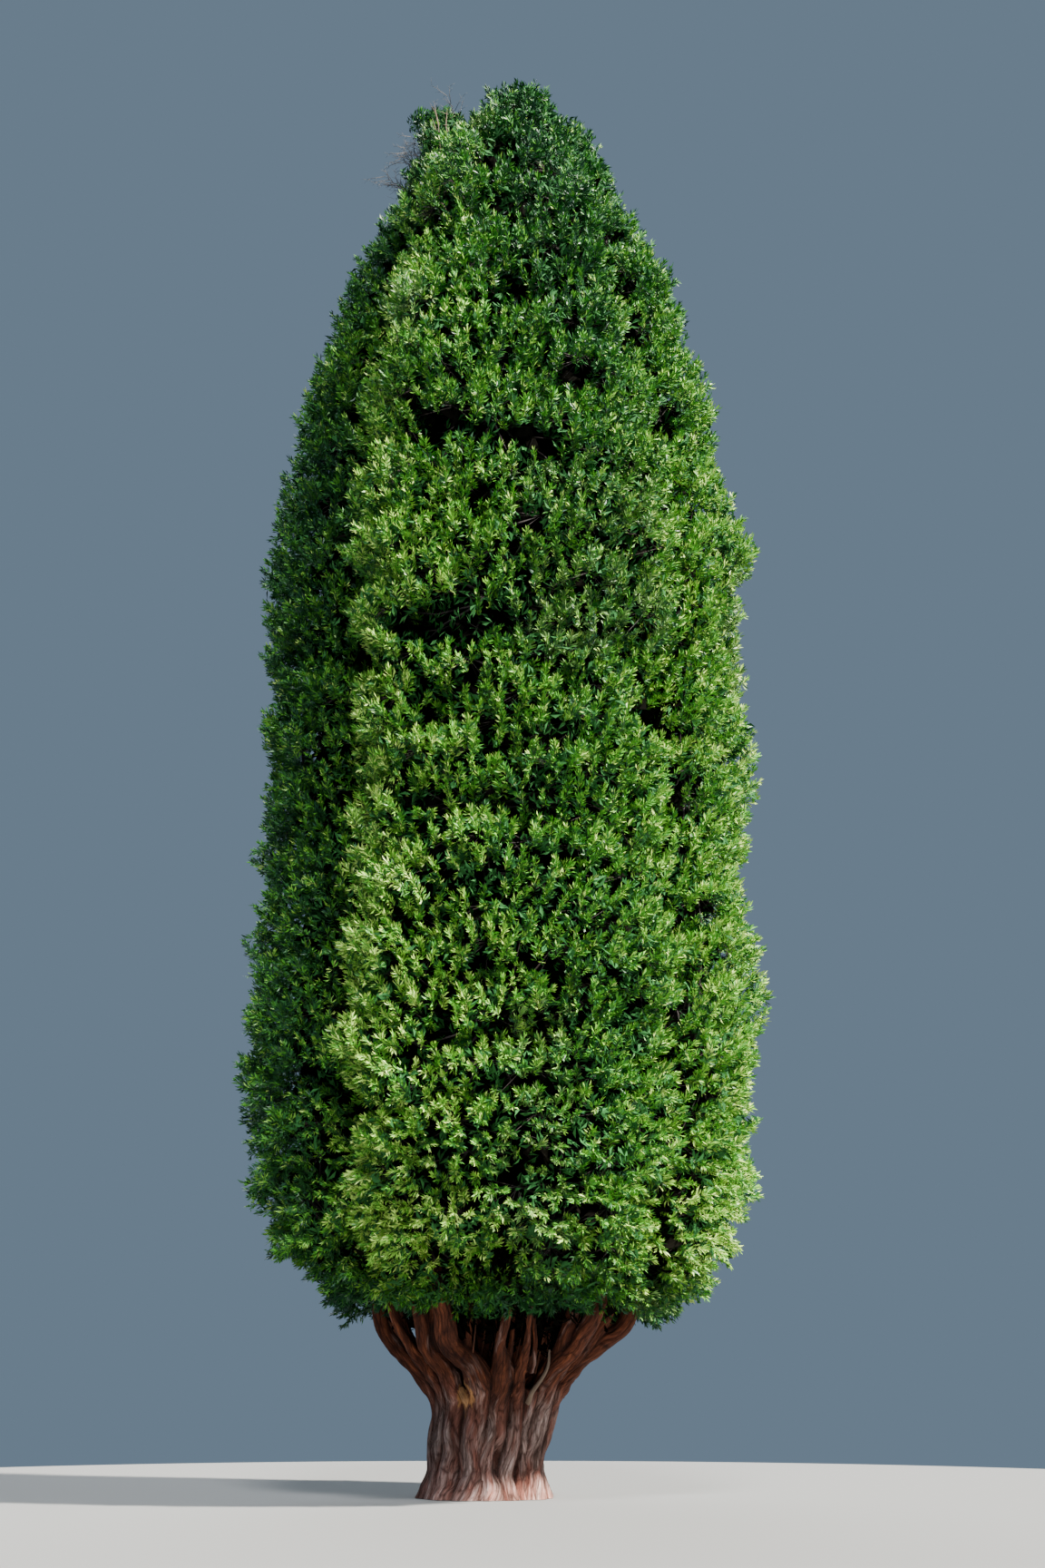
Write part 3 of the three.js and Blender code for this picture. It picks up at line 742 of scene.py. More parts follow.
def bough_stem(bough, elbow):
    """Points and radii of a bough's bark: its column, its knee, its elbow and what stands above."""
    foot, bearing, radius = bough[:3]
    bend, reach, thick = elbow
    low_points, low_radii = column_path(math.radians(foot), radius, COLUMN_SWAY)
    points, radii = bough_path(*bough)
    knee = polar(math.radians(foot), BARK_KNEE, BOUGH_KNEE[0])
    ahead = outward(math.radians(bearing), 0.0)
    aside = unit(np.cross(points[3] - points[2], ahead)) * bend
    away = ahead * reach
    at_fork = points[2] + aside * FORK_BEND + away * FORK_REACH
    at_elbow = (points[2] + points[3]) / 2 - aside + away
    bent = [radii[1] * KNEE_SHARE, radii[2] * FORK_SHARE, (radii[2] + radii[3]) * ELBOW_SHARE * thick]
    above = [r * ABOVE_SHARE * thick for r in radii[3:]]
    return low_points + [knee, at_fork, at_elbow] + list(points[3:]), low_radii + bent + above


@functools.lru_cache(maxsize=None)
def stems():
    """What the bark covers: each limb with its column below, further columns, and side limbs."""
    made = [bough_stem(bough, elbow) for bough, elbow in zip(BOUGHS, ELBOWS)]
    made.append((LEADER_PATH, LEADER_RADII))
    for i, bearing in enumerate(EXTRA_COLUMNS):
        thick = EXTRA_RADIUS + 0.025 * math.sin(i * 2.3)
        low_points, low_radii = column_path(math.radians(bearing), thick, EXTRA_SWAY)
        made.append((low_points + [polar(math.radians(bearing), *EXTRA_TOP)], low_radii + [EXTRA_RADIUS]))
    for limb in SIDE_LIMBS:
        made.append((limb[:, :3], limb[:, 3]))
    for i in range(INNER_LIMBS):
        bearing = math.radians(FIRST_INNER_LIMB + i * 360 / INNER_LIMBS)
        sway = INNER_LIMB_SWAY * math.sin(i * 2.1)
        points = [
            polar(bearing + 0.1 * math.sin(i * 3.3 + height), out + swayed * sway, height)
            for out, height, swayed in INNER_LIMB_PLACES
        ]
        made.append((points, INNER_LIMB_RADII))
    paths = []
    for number, (points, radii) in enumerate(made):
        path, thick = smooth_path(points, radii, STEM_STEPS)
        paths.append((path, thick * (1 + STEM_SWELL * lattice_noise(path + number, 0.26, 12))))
    return paths


# The bark

BARK_TOP = 3.1
BARK_VOXEL = 0.0213
BARK_SMOOTHING = 5
BARK_CREASE = 50
STEM_SIDES = 20
STEM_OVERLAP = 0.12
STEM_MARGIN = 0.3
# The bole under the stems: how much of the trunk's radius it takes, and its share of the groove
BOLE_SIDES = 72
BOLE_RINGS = 22
BOLE_SHARE = 0.905
BOLE_GROOVE_DEPTH = 0.05
BOLE_GROOVE_HALF_ANGLE = 0.13
# The deep groove on the front
GROOVE_BEARING = math.radians(9)
GROOVE_HALF_ANGLE = 0.055
GROOVE_DEPTH = 0.06
GROOVE_TOP = 1.35
# Widths of the braided ridges, and how deep the lumps and the knobs at the fork are
COARSE_RIDGE = 0.22
FINE_RIDGE = 0.065
LUMP_DEPTH = 0.022
KNOB_DEPTH = 0.03
KNOB_HEIGHT = 1.6
KNOB_SPREAD = 0.35
# How far a vertex stands out of a skin smoothed so often, from deepest to proudest
PROUD_SMOOTHING = 110
PROUD_RANGE = 0.075
# The place of the torn scar under the big bent bough, and its half sizes
SCAR = (-0.27, -0.98, 1.37)
SCAR_SIZE = (0.12, 0.5, 0.2)
# Painted sunlight on the foot: the height to which it reaches and how softly it ends, and where its sunny
# side starts
FOOT_SUNLIGHT_TOP = 0.42
FOOT_SUNLIGHT_SOFT = 0.3
SUNNY_FROM = 0.02
SUNNY_SOFT = 0.28
# The limbs inside the crown
UPPER_SIDES = 10
UPPER_RIDGE = 0.06
UPPER_OVERLAP = 0.15
FEWEST_RINGS = 6
UPPER_BARK = {"relief": 0.6, "proud": 0.5, "weather": 0.1}


def bole():
    """The trunk's body: an upright cylinder drawn out to its flare and vase, with its groove."""
    heights = np.linspace(TRUNK_PROFILE[0][0], TRUNK_PROFILE[-1][0], BOLE_RINGS)
    bearings = ring_angles(BOLE_SIDES)
    off = wrapped(bearings - GROOVE_BEARING) / BOLE_GROOVE_HALF_ANGLE
    groove = 1 - BOLE_GROOVE_DEPTH * np.exp(-(off**2))
    rings = [polar(bearings, along(TRUNK_PROFILE, h) * BOLE_SHARE * groove, h) for h in heights]
    return mesh_object("bole", np.vstack(rings), tube_faces(BOLE_RINGS, BOLE_SIDES))


def nearest_stem(points):
    """For each point the stem whose surface is nearest, with how far round and how far along it lies."""
    best = np.full(len(points), np.inf)
    across = np.zeros(len(points))
    length = np.zeros(len(points))
    which = np.zeros(len(points))
    for number, (path, radii) in enumerate(stems()):
        reached = path[:, 2] < BARK_TOP + STEM_MARGIN
        path, radii = path[reached], radii[reached]
        tangents, sides, uppers = tube_frames(path)
        lengths = np.concatenate([[0], np.cumsum(np.linalg.norm(np.diff(path, axis=0), axis=1))])
        reach = radii.max() + STEM_MARGIN
        near = np.flatnonzero(((points > path.min(0) - reach) & (points < path.max(0) + reach)).all(1))
        gap = points[near, None] - path[None]
        distance = np.linalg.norm(gap, axis=2) - radii
        nearest = distance.argmin(1)
        rows = np.arange(len(near))
        found = distance[rows, nearest]
        closer = found < best[near]
        near, nearest, arm = near[closer], nearest[closer], gap[rows, nearest][closer]
        angle = np.arctan2((arm * uppers[nearest]).sum(1), (arm * sides[nearest]).sum(1))
        best[near] = found[closer]
        across[near] = angle * radii[nearest]
        length[near] = lengths[nearest] + (arm * tangents[nearest]).sum(1)
        which[near] = number
    return across, length, which


def braided_ridges(across, length, which, width):
    """Ridges that run along a limb, part and join again: 0 in a furrow, 1 on a crest."""
    place = np.stack([across, length * 0.35, which * 3.7], -1)
    warp = lattice_noise(place, width * 1.8, 3) + 1.2 * lattice_noise(place, width * 5, 4)
    slant = length * 0.16 / width
    first = across / width + 0.8 * warp + slant * 0.5
    second = across / (width * 1.25) - 0.7 * warp - slant * 0.5 + which * 0.37
    crest = [np.abs(np.sin(math.pi * q)) ** 0.7 for q in (first, second)]
    broken = 0.75 + 0.25 * lattice_noise(np.stack([across, length, which * 5.1], -1), width * 2.4, 9)
    return np.clip((0.55 * np.maximum(*crest) + 0.45 * crest[0] * crest[1]) * broken, 0, 1)


def bark_skin():
    """The bole and the stems as one smooth skin."""
    parts = [bole()]
    for i, (path, radii) in enumerate(stems()):
        count = int((path[:, 2] < BARK_TOP + STEM_OVERLAP).sum())
        parts.append(mesh_object(f"stem_{i}", *tube(path[:count], radii[:count], STEM_SIDES)))
    activate(*parts)
    bpy.ops.object.join()
    skin = bpy.context.view_layer.objects.active
    apply_modifier(skin, "REMESH", mode="VOXEL", voxel_size=BARK_VOXEL, adaptivity=0.0)
    apply_modifier(skin, "SMOOTH", factor=0.5, iterations=BARK_SMOOTHING)
    return skin


def proudness(skin, points, normals):
    """How far each vertex stands out of a much smoother copy of the skin."""
    smoothed = copied(skin)
    apply_modifier(smoothed, "SMOOTH", factor=0.5, iterations=PROUD_SMOOTHING)
    proud = ((points - vertex_array(smoothed)) * normals).sum(1)
    bpy.data.objects.remove(smoothed)
    return np.clip(0.5 + proud / PROUD_RANGE, 0, 1)


def bark_push(points, ridge, ridge_depth):
    """How far each vertex is pushed out by ridges, lumps and knobs, and in by the groove."""
    height = points[:, 2]
    low = np.clip((2.0 - height) / 1.2, 0, 1)
    off = wrapped(bearing_of(points) - GROOVE_BEARING - 0.05 * np.sin(height * 4)) / GROOVE_HALF_ANGLE
    groove = GROOVE_DEPTH * np.exp(-(off**2)) * np.clip((GROOVE_TOP - height) / 0.5, 0, 1)
    groove = np.where(np.hypot(points[:, 0], points[:, 1]) > 0.5, groove, 0)
    lump = lattice_noise(points * np.array([1, 1, 0.6]), 0.3, 5)
    knob = lattice_noise(points, 0.13, 6) * np.exp(-(((height - KNOB_HEIGHT) / KNOB_SPREAD) ** 2))
    depth = ridge_depth * (0.45 + 0.3 * low)
    return (ridge - 0.55) * depth + lump * LUMP_DEPTH * (0.4 + low) + knob * KNOB_DEPTH - groove


def make_bark(settings):
    """The trunk and the boughs as one skin of bark, then parted at the fork."""
    skin = bark_skin()
    points, normals = vertex_array(skin), vertex_array(skin, "normal")
    proud = proudness(skin, points, normals)
    across, length, which = nearest_stem(points)
    across = across + 0.05 * lattice_noise(points, 0.4, 15) + 0.02 * lattice_noise(points, 0.17, 16)
    coarse = braided_ridges(across, length, which, COARSE_RIDGE)
    fine = braided_ridges(across + 0.31, length, which, FINE_RIDGE)
    ridge = 0.45 * coarse + 0.55 * fine
    moved = points + normals * bark_push(points, ridge, settings.ridge_depth)[:, None]
    moved[:, 2] = np.maximum(moved[:, 2], points[:, 2] - 0.02)
    set_vertices(skin, moved)
    torn = 1 - np.linalg.norm((points - np.array(SCAR)) / np.array(SCAR_SIZE), axis=1)
    torn = torn + 0.6 * lattice_noise(points * np.array([1, 1, 0.35]), 0.05, 14)
    # Painted sunlight: the foot is made paler low down on its sunny +X side.
    low_foot = np.clip((FOOT_SUNLIGHT_TOP - points[:, 2]) / FOOT_SUNLIGHT_SOFT, 0, 1)
    sunny = np.clip((points[:, 0] - SUNNY_FROM) / SUNNY_SOFT, 0, 1)
    patch = lattice_noise(points, 0.55, 8)
    add_attribute(skin, "relief", ridge)
    add_attribute(skin, "proud", proud)
    add_attribute(skin, "torn", np.clip(torn * 4, 0, 1))
    add_attribute(skin, "dust", low_foot * sunny)
    add_attribute(skin, "grain", np.stack([across, length, which], -1))
    add_attribute(skin, "weather", np.clip((1.6 - points[:, 2]) / 0.7 + 0.35 * patch, 0, 1))
    skin.data.materials.clear()
    skin.data.materials.append(bark_material(settings))
    boughs = copied(skin)
    keep_height(skin, 0.0, FORK_CUT)
    keep_height(boughs, FORK_CUT, BARK_TOP)
    for item, name in ((skin, "trunk_bark"), (boughs, "bough_bark")):
        item.name = name
        smooth(item, BARK_CREASE)
    return skin, boughs


def make_upper_limbs(material):
    """The tall boughs and the leader above the vase, up inside the crown."""
    vertices, faces, grains = [], [], []
    ridge = 1 + UPPER_RIDGE * np.tile([1, -1], UPPER_SIDES // 2)
    for number, (path, radii) in enumerate(limbs()):
        reached = path[:, 2] > BARK_TOP - UPPER_OVERLAP
        if reached.sum() < FEWEST_RINGS:
            continue
        path, radii = path[reached], radii[reached]
        some, those = tube(path, radii, UPPER_SIDES)
        centre = np.repeat(path, UPPER_SIDES, axis=0)
        some = centre + (some - centre) * np.tile(ridge, len(path))[:, None]
        base = sum(len(v) for v in vertices)
        faces += [tuple(base + i for i in face) for face in those]
        vertices.append(some)
        around = ring_angles(UPPER_SIDES, len(path)) * np.repeat(radii, UPPER_SIDES)
        grains.append(points_at(around, some[:, 2], number))
    made = mesh_object("upper_limbs", np.vstack(vertices), faces, material)
    grains = np.vstack(grains)
    add_attribute(made, "grain", grains)
    for name, value in UPPER_BARK.items():
        add_attribute(made, name, np.full(len(grains), value))
    smooth(made, BARK_CREASE)
    return made


# Foliage

# Dark gaps in the crown's face: bearing in degrees, height, width and height of each
HOLLOWS = [
    (-14, 15.3, 1.7, 0.6),
    (8, 15.2, 1.0, 0.5),
    (-14, 12.2, 2.0, 0.75),
    (-6, 8.4, 1.1, 0.42),
    (-19, 9.6, 0.7, 0.4),
    (-36, 11.8, 0.6, 0.35),
    (13, 10.6, 0.5, 0.3),
    (-43, 9.8, 0.5, 0.5),
    (1, 18.0, 0.9, 0.35),
    (-50, 5.8, 0.6, 0.45),
    (31, 13.2, 0.3, 0.6),
    (31, 6.6, 0.3, 0.5),
    (24, 4.6, 0.5, 0.25),
    (96, 9.5, 0.8, 0.5),
    (128, 13.4, 1.1, 0.5),
    (152, 7.2, 0.9, 0.5),
    (176, 16.0, 1.2, 0.5),
    (-168, 10.4, 1.0, 0.5),
    (-140, 6.6, 0.9, 0.5),
    (-122, 14.6, 1.0, 0.5),
    (-88, 9.0, 0.9, 0.5),
    (70, 15.2, 0.9, 0.5),
]
TOP_HOLLOW = (0.33, 21.6, 0.5, 0.3)
# The crown's radius that the widths of its dark gaps are measured at
HOLLOW_RADIUS = 3.8

# The tufts: gap and vertical stacking, half sizes, how far each stands in or out, and tries at placing them
TUFT_GAP = 0.7
TUFT_STACKING = 1.4
TUFT_WIDTH = (0.58, 0.95)
TUFT_HEIGHT = (0.36, 0.5)
TUFT_DEPTH = (0.5, 0.72)
TUFT_STAND = (-0.22, 0.07)
TUFT_WAVE = 0.18
COLUMN_TRIES = 9000
FEWER_TRIES = 900
# Tufts under the crown's rim: distance out, gap, size, tilt and climb
RIM_REACH = (1.6, 2.75)
RIM_GAP = 0.6
RIM_SIZE = 0.8
RIM_TILT = math.radians(-55)
RIM_CLIMB = math.radians(-30)
# Tufts of the two tops, and the smallest one on each tip
TOP_CLIMB = math.radians(66)
TIP_CLIMB = math.radians(86)
TIP_SIZE = 0.36

# The branchlets: length, how many are tried on each tuft, and how far past the solids' box a tip may stand
BRANCHLET = 0.36
TIPS_EACH = 64
TIP_MARGIN = 0.14
TIP_JITTER = 0.05
NEIGHBOUR_REACH = 0.8
BURIED_SHARE = 0.74
CLIMB_SPREAD = 0.22
# The way that the sprays' upper sides turn, as they would to the light
LIGHT_WAY = (0.4, -0.25, 0.55)

# The sprays: gap between branchlets, length, and a finger's width for its length
CROWN = {"gap": 0.148, "spray": 0.14, "finger": 0.142}
SPRAYS_EACH = 21
SPRAY_ANGLE = [(0, 54), (0.6, 40), (0.9, 20), (1, 0)]
# A spray's fingers: where each leaves the stalk, its angle in degrees and its length
END_FINGER = (0.08, 0, 0.94)
SIDE_FINGERS = [(0.06, 29, 0.74), (0.26, 26, 0.68)]
FINGER_SWING = 7
FINGER_ROLL = 55
FINGER_LIFT = 25
SHAPES = 9
CURL = (-0.12, 0.3)
# The greens dealt out to the sprays: name, slot, share of the sprays from the most to the least lit
TONES = [
    ("sprays_tip_pale", "foliage_light", 0.07),
    ("sprays_light", "foliage_light", 0.17),
    ("sprays_fresh", "foliage_mid", 0.22),
    ("sprays_mid", "foliage_mid", 0.2),
    ("sprays_deep", "foliage_deep", 0.18),
    ("sprays_shade", "foliage_deep", 0.16),
]
# Painted light and shade: how much paler or deeper the sprays are at each bearing in degrees, and more so
# high in the crown
LOBE_PAINTED_LIGHT = [
    (-180, 0), (-120, -0.1), (-100, -0.8), (-58, -0.95), (-45, 0), (-36, 0.65), (-18, 0.6), (-4, 0.2),
    (12, -0.15), (28, -0.15), (40, 0.3), (75, 0.55), (110, 0.1), (180, 0),
]
HIGH_PAINTED_LIGHT = [(-105, 0), (-80, 1.0), (-40, 0.75), (-25, 0)]
HIGH_FROM = 14.5
HIGH_SOFT = 2.5
# Patches of light by strength, size and seed, and what each metre above a height takes away
LIGHT_PATCHES = [(0.22, 1.3, 31), (0.1, 3.1, 33)]
LOSS_UPWARDS = 0.02
LOSS_NEAR_TOP = 0.12
MIDDLE_HEIGHT = 9
NEAR_TOP = 14
# The band under the rim that lies in shade, and the lit one above it
RIM_SHADE = 1.6
RIM_SHADE_TOP = 3.05
RIM_LIGHT = 0.45
RIM_LIGHT_HEIGHT = 3.6
# Patches of older, greyer foliage: centre and reach
FADED_PATCHES = [
    ((1.3, -3.6, 12.3), 1.0),
    ((4.1, -0.4, 13.0), 1.3),
    ((-0.8, -0.8, 21.9), 1.2),
    ((-3.1, 2.4, 9.5), 1.1),
]
FADED_SHARE = 0.6

# Sprays inside the tufts, dark green as painted shade; dead ones further in, and dead ones between the limbs
# of the vase, near-black as painted shade
INNER_EACH = 29
INNER_REACH = 0.72
INNER_LENGTH = (0.17, 0.26)
INNER_BELOW_TOP = 0.5
INNER_FINGER = 0.17
SHELL_COUNT = 7600
SHELL_HEIGHTS = (3.2, 22.6)
SHELL_SHARES = (0.4, 0.78)
SHELL_TOP_REACH = 1.2
SHELL_LONGEST = 0.95
SHELL_FINGER = 0.4
VASE_COUNT = 4400
VASE_HEIGHTS = (2.05, 3.3)
VASE_RADIUS = [(2.05, 0.75), (2.35, 1.35), (2.6, 1.8), (2.9, 2.4), (3.3, 2.9)]
VASE_LENGTH = (0.2, 0.34)
VASE_FINGER = 0.22


def spray_shape(width, random):
    """One spray in its own frame, on a stalk of length 1: the root, tip and bulge of each finger."""
    corners = []
    for i, (start, degrees, length) in enumerate([END_FINGER, *SIDE_FINGERS]):
        side = -1 if i % 2 else 1
        lift = 0
        if i:
            degrees = side * (degrees + random.uniform(-FINGER_SWING, FINGER_SWING))
            length *= random.uniform(0.85, 1.15)
        roll = math.radians(random.uniform(-FINGER_ROLL, FINGER_ROLL))
        if i:
            lift = math.radians(random.uniform(-FINGER_LIFT, FINGER_LIFT))
        angle = math.radians(degrees)
        level = np.array([math.cos(angle), math.sin(angle), 0])
        aside = np.array([-level[1], level[0], 0]) * side
        forward = level * math.cos(lift) + np.array([0, 0, math.sin(lift)])
        above = np.cross(forward, aside)
        bulge = aside * math.cos(roll) + above * math.sin(roll)
        base = np.array([start, 0, 0])
        tip = base + forward * length - bulge * width * 0.3
        corners += [base, tip, base + forward * length * 0.6 + bulge * width]
    return np.array(corners)


def spray_mesh(name, sprays, width, material):
    """Joins sprays, each a root, a direction, a way across, a normal, a length and a curl."""
    root, direction, across, normal, length, curl = sprays
    random = np.random.default_rng(SEEDS["shapes"])
    shapes = np.array([spray_shape(width, random) for _ in range(SHAPES)])[np.arange(len(root)) % SHAPES]
    u, v, w = (shapes[..., i, None] for i in range(3))
    w = w - curl[:, None, None] * u**2
    points = root[:, None] + length[:, None, None] * (
        u * direction[:, None] + v * across[:, None] + w * normal[:, None]
    )
    points = points.reshape(-1, 3)
    return triangle_object(name, points, np.arange(len(points)).reshape(-1, 3), material)


def nearest_bough(bearing):
    return int(np.argmin([abs(wrapped(math.radians(b[1]) - bearing)) for b in BOUGHS]))


@functools.lru_cache(maxsize=None)
def bearers():
    """For each lobe and storey, or half of the skirt, where its stem leaves its limb and where it divides."""
    made = {}
    for lobe in range(len(LOBES)):
        centre = lobe_centre(lobe)
        skirt_top = SKIRT_TOP + LOBE_STAGGER[lobe]
        tall = [i for i, bough in enumerate(BOUGHS) if bough[4] == lobe][0]
        spaces = [(storey, centre, tall, skirt_top + storey * STOREY_HEIGHT) for storey in range(STOREYS)]
        for side in (-2, -1):
            bearing = centre + (side + 1.5) * LOBE_ANGLE / 2
            spaces.append((side, bearing, nearest_bough(bearing), SKIRT_BOTTOM))
        for storey, bearing, bough, low in spaces:
            high = skirt_top if storey < 0 else min(low + STOREY_HEIGHT, STOREY_TOP)
            shell = crown_radius(bearing, (low + high) / 2) * (1 + MASS_INNER_SHARE) / 2
            top = limbs()[bough][0][-1][2]
            meet = on_limb(bough, min(low + (high - low) * 0.35, top - 0.06))
            made[lobe, storey] = (meet, polar(bearing, shell, (low + high) / 2))
    return made


def bearer_at(bearing, height):
    """Where the twig to a tuft at this bearing and height comes from."""
    turn = (bearing - FIRST_LOBE) / LOBE_ANGLE
    lobe = round(turn) % len(LOBES)
    skirt_top = SKIRT_TOP + LOBE_STAGGER[lobe]
    if height < skirt_top:
        return bearers()[lobe, -1 if turn > round(turn) else -2]
    return bearers()[lobe, min(STOREYS - 1, int((height - skirt_top) / STOREY_HEIGHT))]


def in_hollow(points):
    """Whether each point lies in one of the crown's dark gaps."""
    bearing = bearing_of(points)
    found = np.zeros(len(points), bool)
    for degrees, height, wide, tall in HOLLOWS:
        off = wrapped(bearing - math.radians(degrees)) * HOLLOW_RADIUS / (wide / 2)
        found |= off**2 + ((points[:, 2] - height) / (tall / 2)) ** 2 < 1
    x, z, wide, tall = TOP_HOLLOW
    off = ((points[:, 0] - x) / wide) ** 2 + ((points[:, 2] - z) / tall) ** 2
    return found | ((off < 1) & (points[:, 1] < 0))


def surface_normal(bearing, height):
    """The way out of the crown's surface, tilted with its slope."""
    step, swing = 0.3, 0.05
    rise = (foliage_radius(bearing, height + step) - foliage_radius(bearing, height - step)) / (2 * step)
    turn = (foliage_radius(bearing + swing, height) - foliage_radius(bearing - swing, height)) / (2 * swing)
    around = outward(bearing + math.pi / 2, 0.0) * turn / foliage_radius(bearing, height)
    return unit(outward(bearing, 0.0) - np.array([0, 0, 1]) * np.clip(rise, -1.2, 1.2) * 0.8 - around)


def scattered(random, tries, gap, draw):
    """Points thrown at a surface, each kept where no earlier one lies within the gap."""
    places, kept = [], []
    for _ in range(tries):
        found = draw()
        place = found[0] * np.array([1, 1, TUFT_STACKING])
        if places:
            nearest = np.linalg.norm(np.array(places) - place, axis=1).min()
            if nearest <= gap * random.uniform(0.85, 1.2):
                continue
        places.append(place)
        kept.append(found)
    return kept


@functools.lru_cache(maxsize=None)
def tufts():
    """Where each tuft of foliage sits: centre, way out, half width, half height, depth, climb, hub."""
    random = np.random.default_rng(SEEDS["tufts"])
    made = []

    def add(surface, normal, climb, hub, scale=1.0):
        wide, tall, deep = (scale * random.uniform(*span) for span in (TUFT_WIDTH, TUFT_HEIGHT, TUFT_DEPTH))
        stand = random.uniform(*TUFT_STAND) + TUFT_WAVE * lattice_noise(surface, 1.7, 21)
        made.append((surface + normal * (stand - deep), normal, wide, tall, deep, climb, hub))

    def on_column():
        bearing, height = random.uniform(0, math.tau), random.uniform(SKIRT_BOTTOM + 0.25, STOREY_TOP)
        return polar(bearing, foliage_radius(bearing, height), height), bearing, height

    for surface, bearing, height in scattered(random, COLUMN_TRIES, TUFT_GAP, on_column):
        climb = math.radians(along(SPRAY_CLIMB, height))
        add(surface, surface_normal(bearing, height), climb, bearer_at(bearing, height))

    def under_rim():
        bearing, reach = random.uniform(0, math.tau), random.uniform(*RIM_REACH)
        return polar(bearing, reach, SKIRT_BOTTOM + 0.1 * random.random()), bearing, reach

    for surface, bearing, _ in scattered(random, FEWER_TRIES, RIM_GAP, under_rim):
        add(surface, outward(bearing, RIM_TILT), RIM_CLIMB, bearer_at(bearing, surface[2]), RIM_SIZE)

    for top in TOPS.values():
        profile, size = top["profile"], top["size"]
        low, high = profile[0][0], profile[-1][0]
        hub = np.array([top["x"], top["y"], low + 0.42 * (high - low)])
        meet = limbs()[top["limb"]][0][-1]

        def on_top():
            bearing, height = random.uniform(0, math.tau), random.uniform(low, high - 0.1)
            middle = top["x"] + top["skew"] * np.clip((height - high + 0.5) / 0.5, 0, 1)
            surface = polar(bearing, along(profile, height), height, middle, 0.0)
            surface[1] = top["y"] + surface[1] * top["depth"]
            return surface, bearing, height

        for surface, bearing, height in scattered(random, FEWER_TRIES, TUFT_GAP * size, on_top):
            if top["side"] * (surface[0] - TOPS_PARTING) < -0.08:
                continue
            slope = (along(profile, height - 0.2) - along(profile, height + 0.2)) / 0.4
            normal = unit(outward(bearing, math.atan(slope * 0.8)))
            scale = size * min(1.0, top["slim"] + 0.42 * along(profile, height))
            add(surface, normal, TOP_CLIMB, (meet, hub), scale)
        tip = np.array([top["x"] + top["skew"], top["y"], high + 0.04])
        add(tip, np.array([0, 0, 1.0]), TIP_CLIMB, (meet, hub), TIP_SIZE)
    for place, scale in BETWEEN_TOPS:
        add(np.array(place), outward(0.0, 0.9), TOP_CLIMB, (meet, hub), scale)
    return made


def spaced(points, gap, random):
    """The numbers of points that lie at least a gap apart, picked in random order."""
    tree = kdtree.KDTree(len(points))
    for i, point in enumerate(points):
        tree.insert(point, i)
    tree.balance()
    free = np.ones(len(points), bool)
    kept = []
    for i in random.permutation(len(points)):
        if free[i]:
            kept.append(i)
            for _, near, _ in tree.find_range(points[i], gap):
                free[near] = False
    return np.sort(kept)


def tuft_axes():
    """Way across, way up, way out and the three half sizes of every tuft, with the centres."""
    places = tufts()
    centre, normal = (np.array([t[i] for t in places]) for i in (0, 1))
    size = np.array([(t[2], t[3], t[4]) for t in places])
    upright = np.where(np.abs(normal[:, 2:]) < 0.95, np.array([0, 0, 1.0]), np.array([0, 1.0, 0]))
    across = unit(np.cross(upright, normal))
    return centre, np.stack([across, np.cross(normal, across), normal], 1), size


@functools.lru_cache(maxsize=None)
def branchlets():
    """Every branchlet: the tuft it grows from, its tip, its direction, its plane, and its painted light,
    which is more the further out and up on its tuft it stands.
    """
    random = np.random.default_rng(SEEDS["branchlets"])
    centre, axes, size = tuft_axes()
    owner = np.repeat(np.arange(len(centre)), TIPS_EACH)
    count = len(owner)
    step = np.tile(np.arange(TIPS_EACH), len(centre)) + random.uniform(0, 1, count)
    out = 1 - step / TIPS_EACH * 1.15
    ring = np.sqrt(np.maximum(0, 1 - out**2))
    angle = random.uniform(0, math.tau, count)
    ball = np.stack([ring * np.cos(angle), ring * np.sin(angle), out], 1)
    flipped = (ball[:, 1] < -0.4) & (random.random(count) < 0.5)
    ball[flipped, 1] *= -1
    way = np.einsum("ni,nij->nj", ball, axes[owner])
    tips = centre[owner] + np.einsum("ni,nij->nj", ball * size[owner], axes[owner])
    tips = tips + random.uniform(-TIP_JITTER, TIP_JITTER, (count, 3))
    low, high = (np.array(corner)[:2] for corner in CAD_BOX)
    beyond = ((tips[:, :2] < low - TIP_MARGIN) | (tips[:, :2] > high + TIP_MARGIN)).any(1)
    buried = in_hollow(tips) | (tips[:, 2] > TREE_HEIGHT + 0.02) | beyond
    for number in range(len(centre)):
        near = np.flatnonzero((np.abs(tips - centre[number]).max(1) < NEIGHBOUR_REACH) & (owner != number))
        inside = (tips[near] - centre[number]) @ axes[number].T / size[number]
        buried[near[(inside**2).sum(1) < BURIED_SHARE]] = True
    kept = np.flatnonzero(~buried)
    kept = kept[spaced(tips[kept], CROWN["gap"], random)]
    owner, ball, way, tips = owner[kept], ball[kept], way[kept], tips[kept]
    count = len(kept)
    normal = axes[owner, 2]
    climb = np.array([t[5] for t in tufts()])[owner] + random.uniform(-CLIMB_SPREAD, CLIMB_SPREAD, count)
    lean = outward(np.arctan2(normal[:, 0], -normal[:, 1]), climb)
    growth = unit(0.5 * way + 0.95 * lean + 0.22 * random.normal(size=(count, 3)))
    facing = 0.6 * normal + np.array(LIGHT_WAY) + 0.45 * random.normal(size=(count, 3))
    # The last value is painted light: more the further out and up on its tuft a branchlet stands.
    return owner, tips, growth, square_to(facing, growth), 0.5 * ball[:, 2] + 0.55 * ball[:, 1]


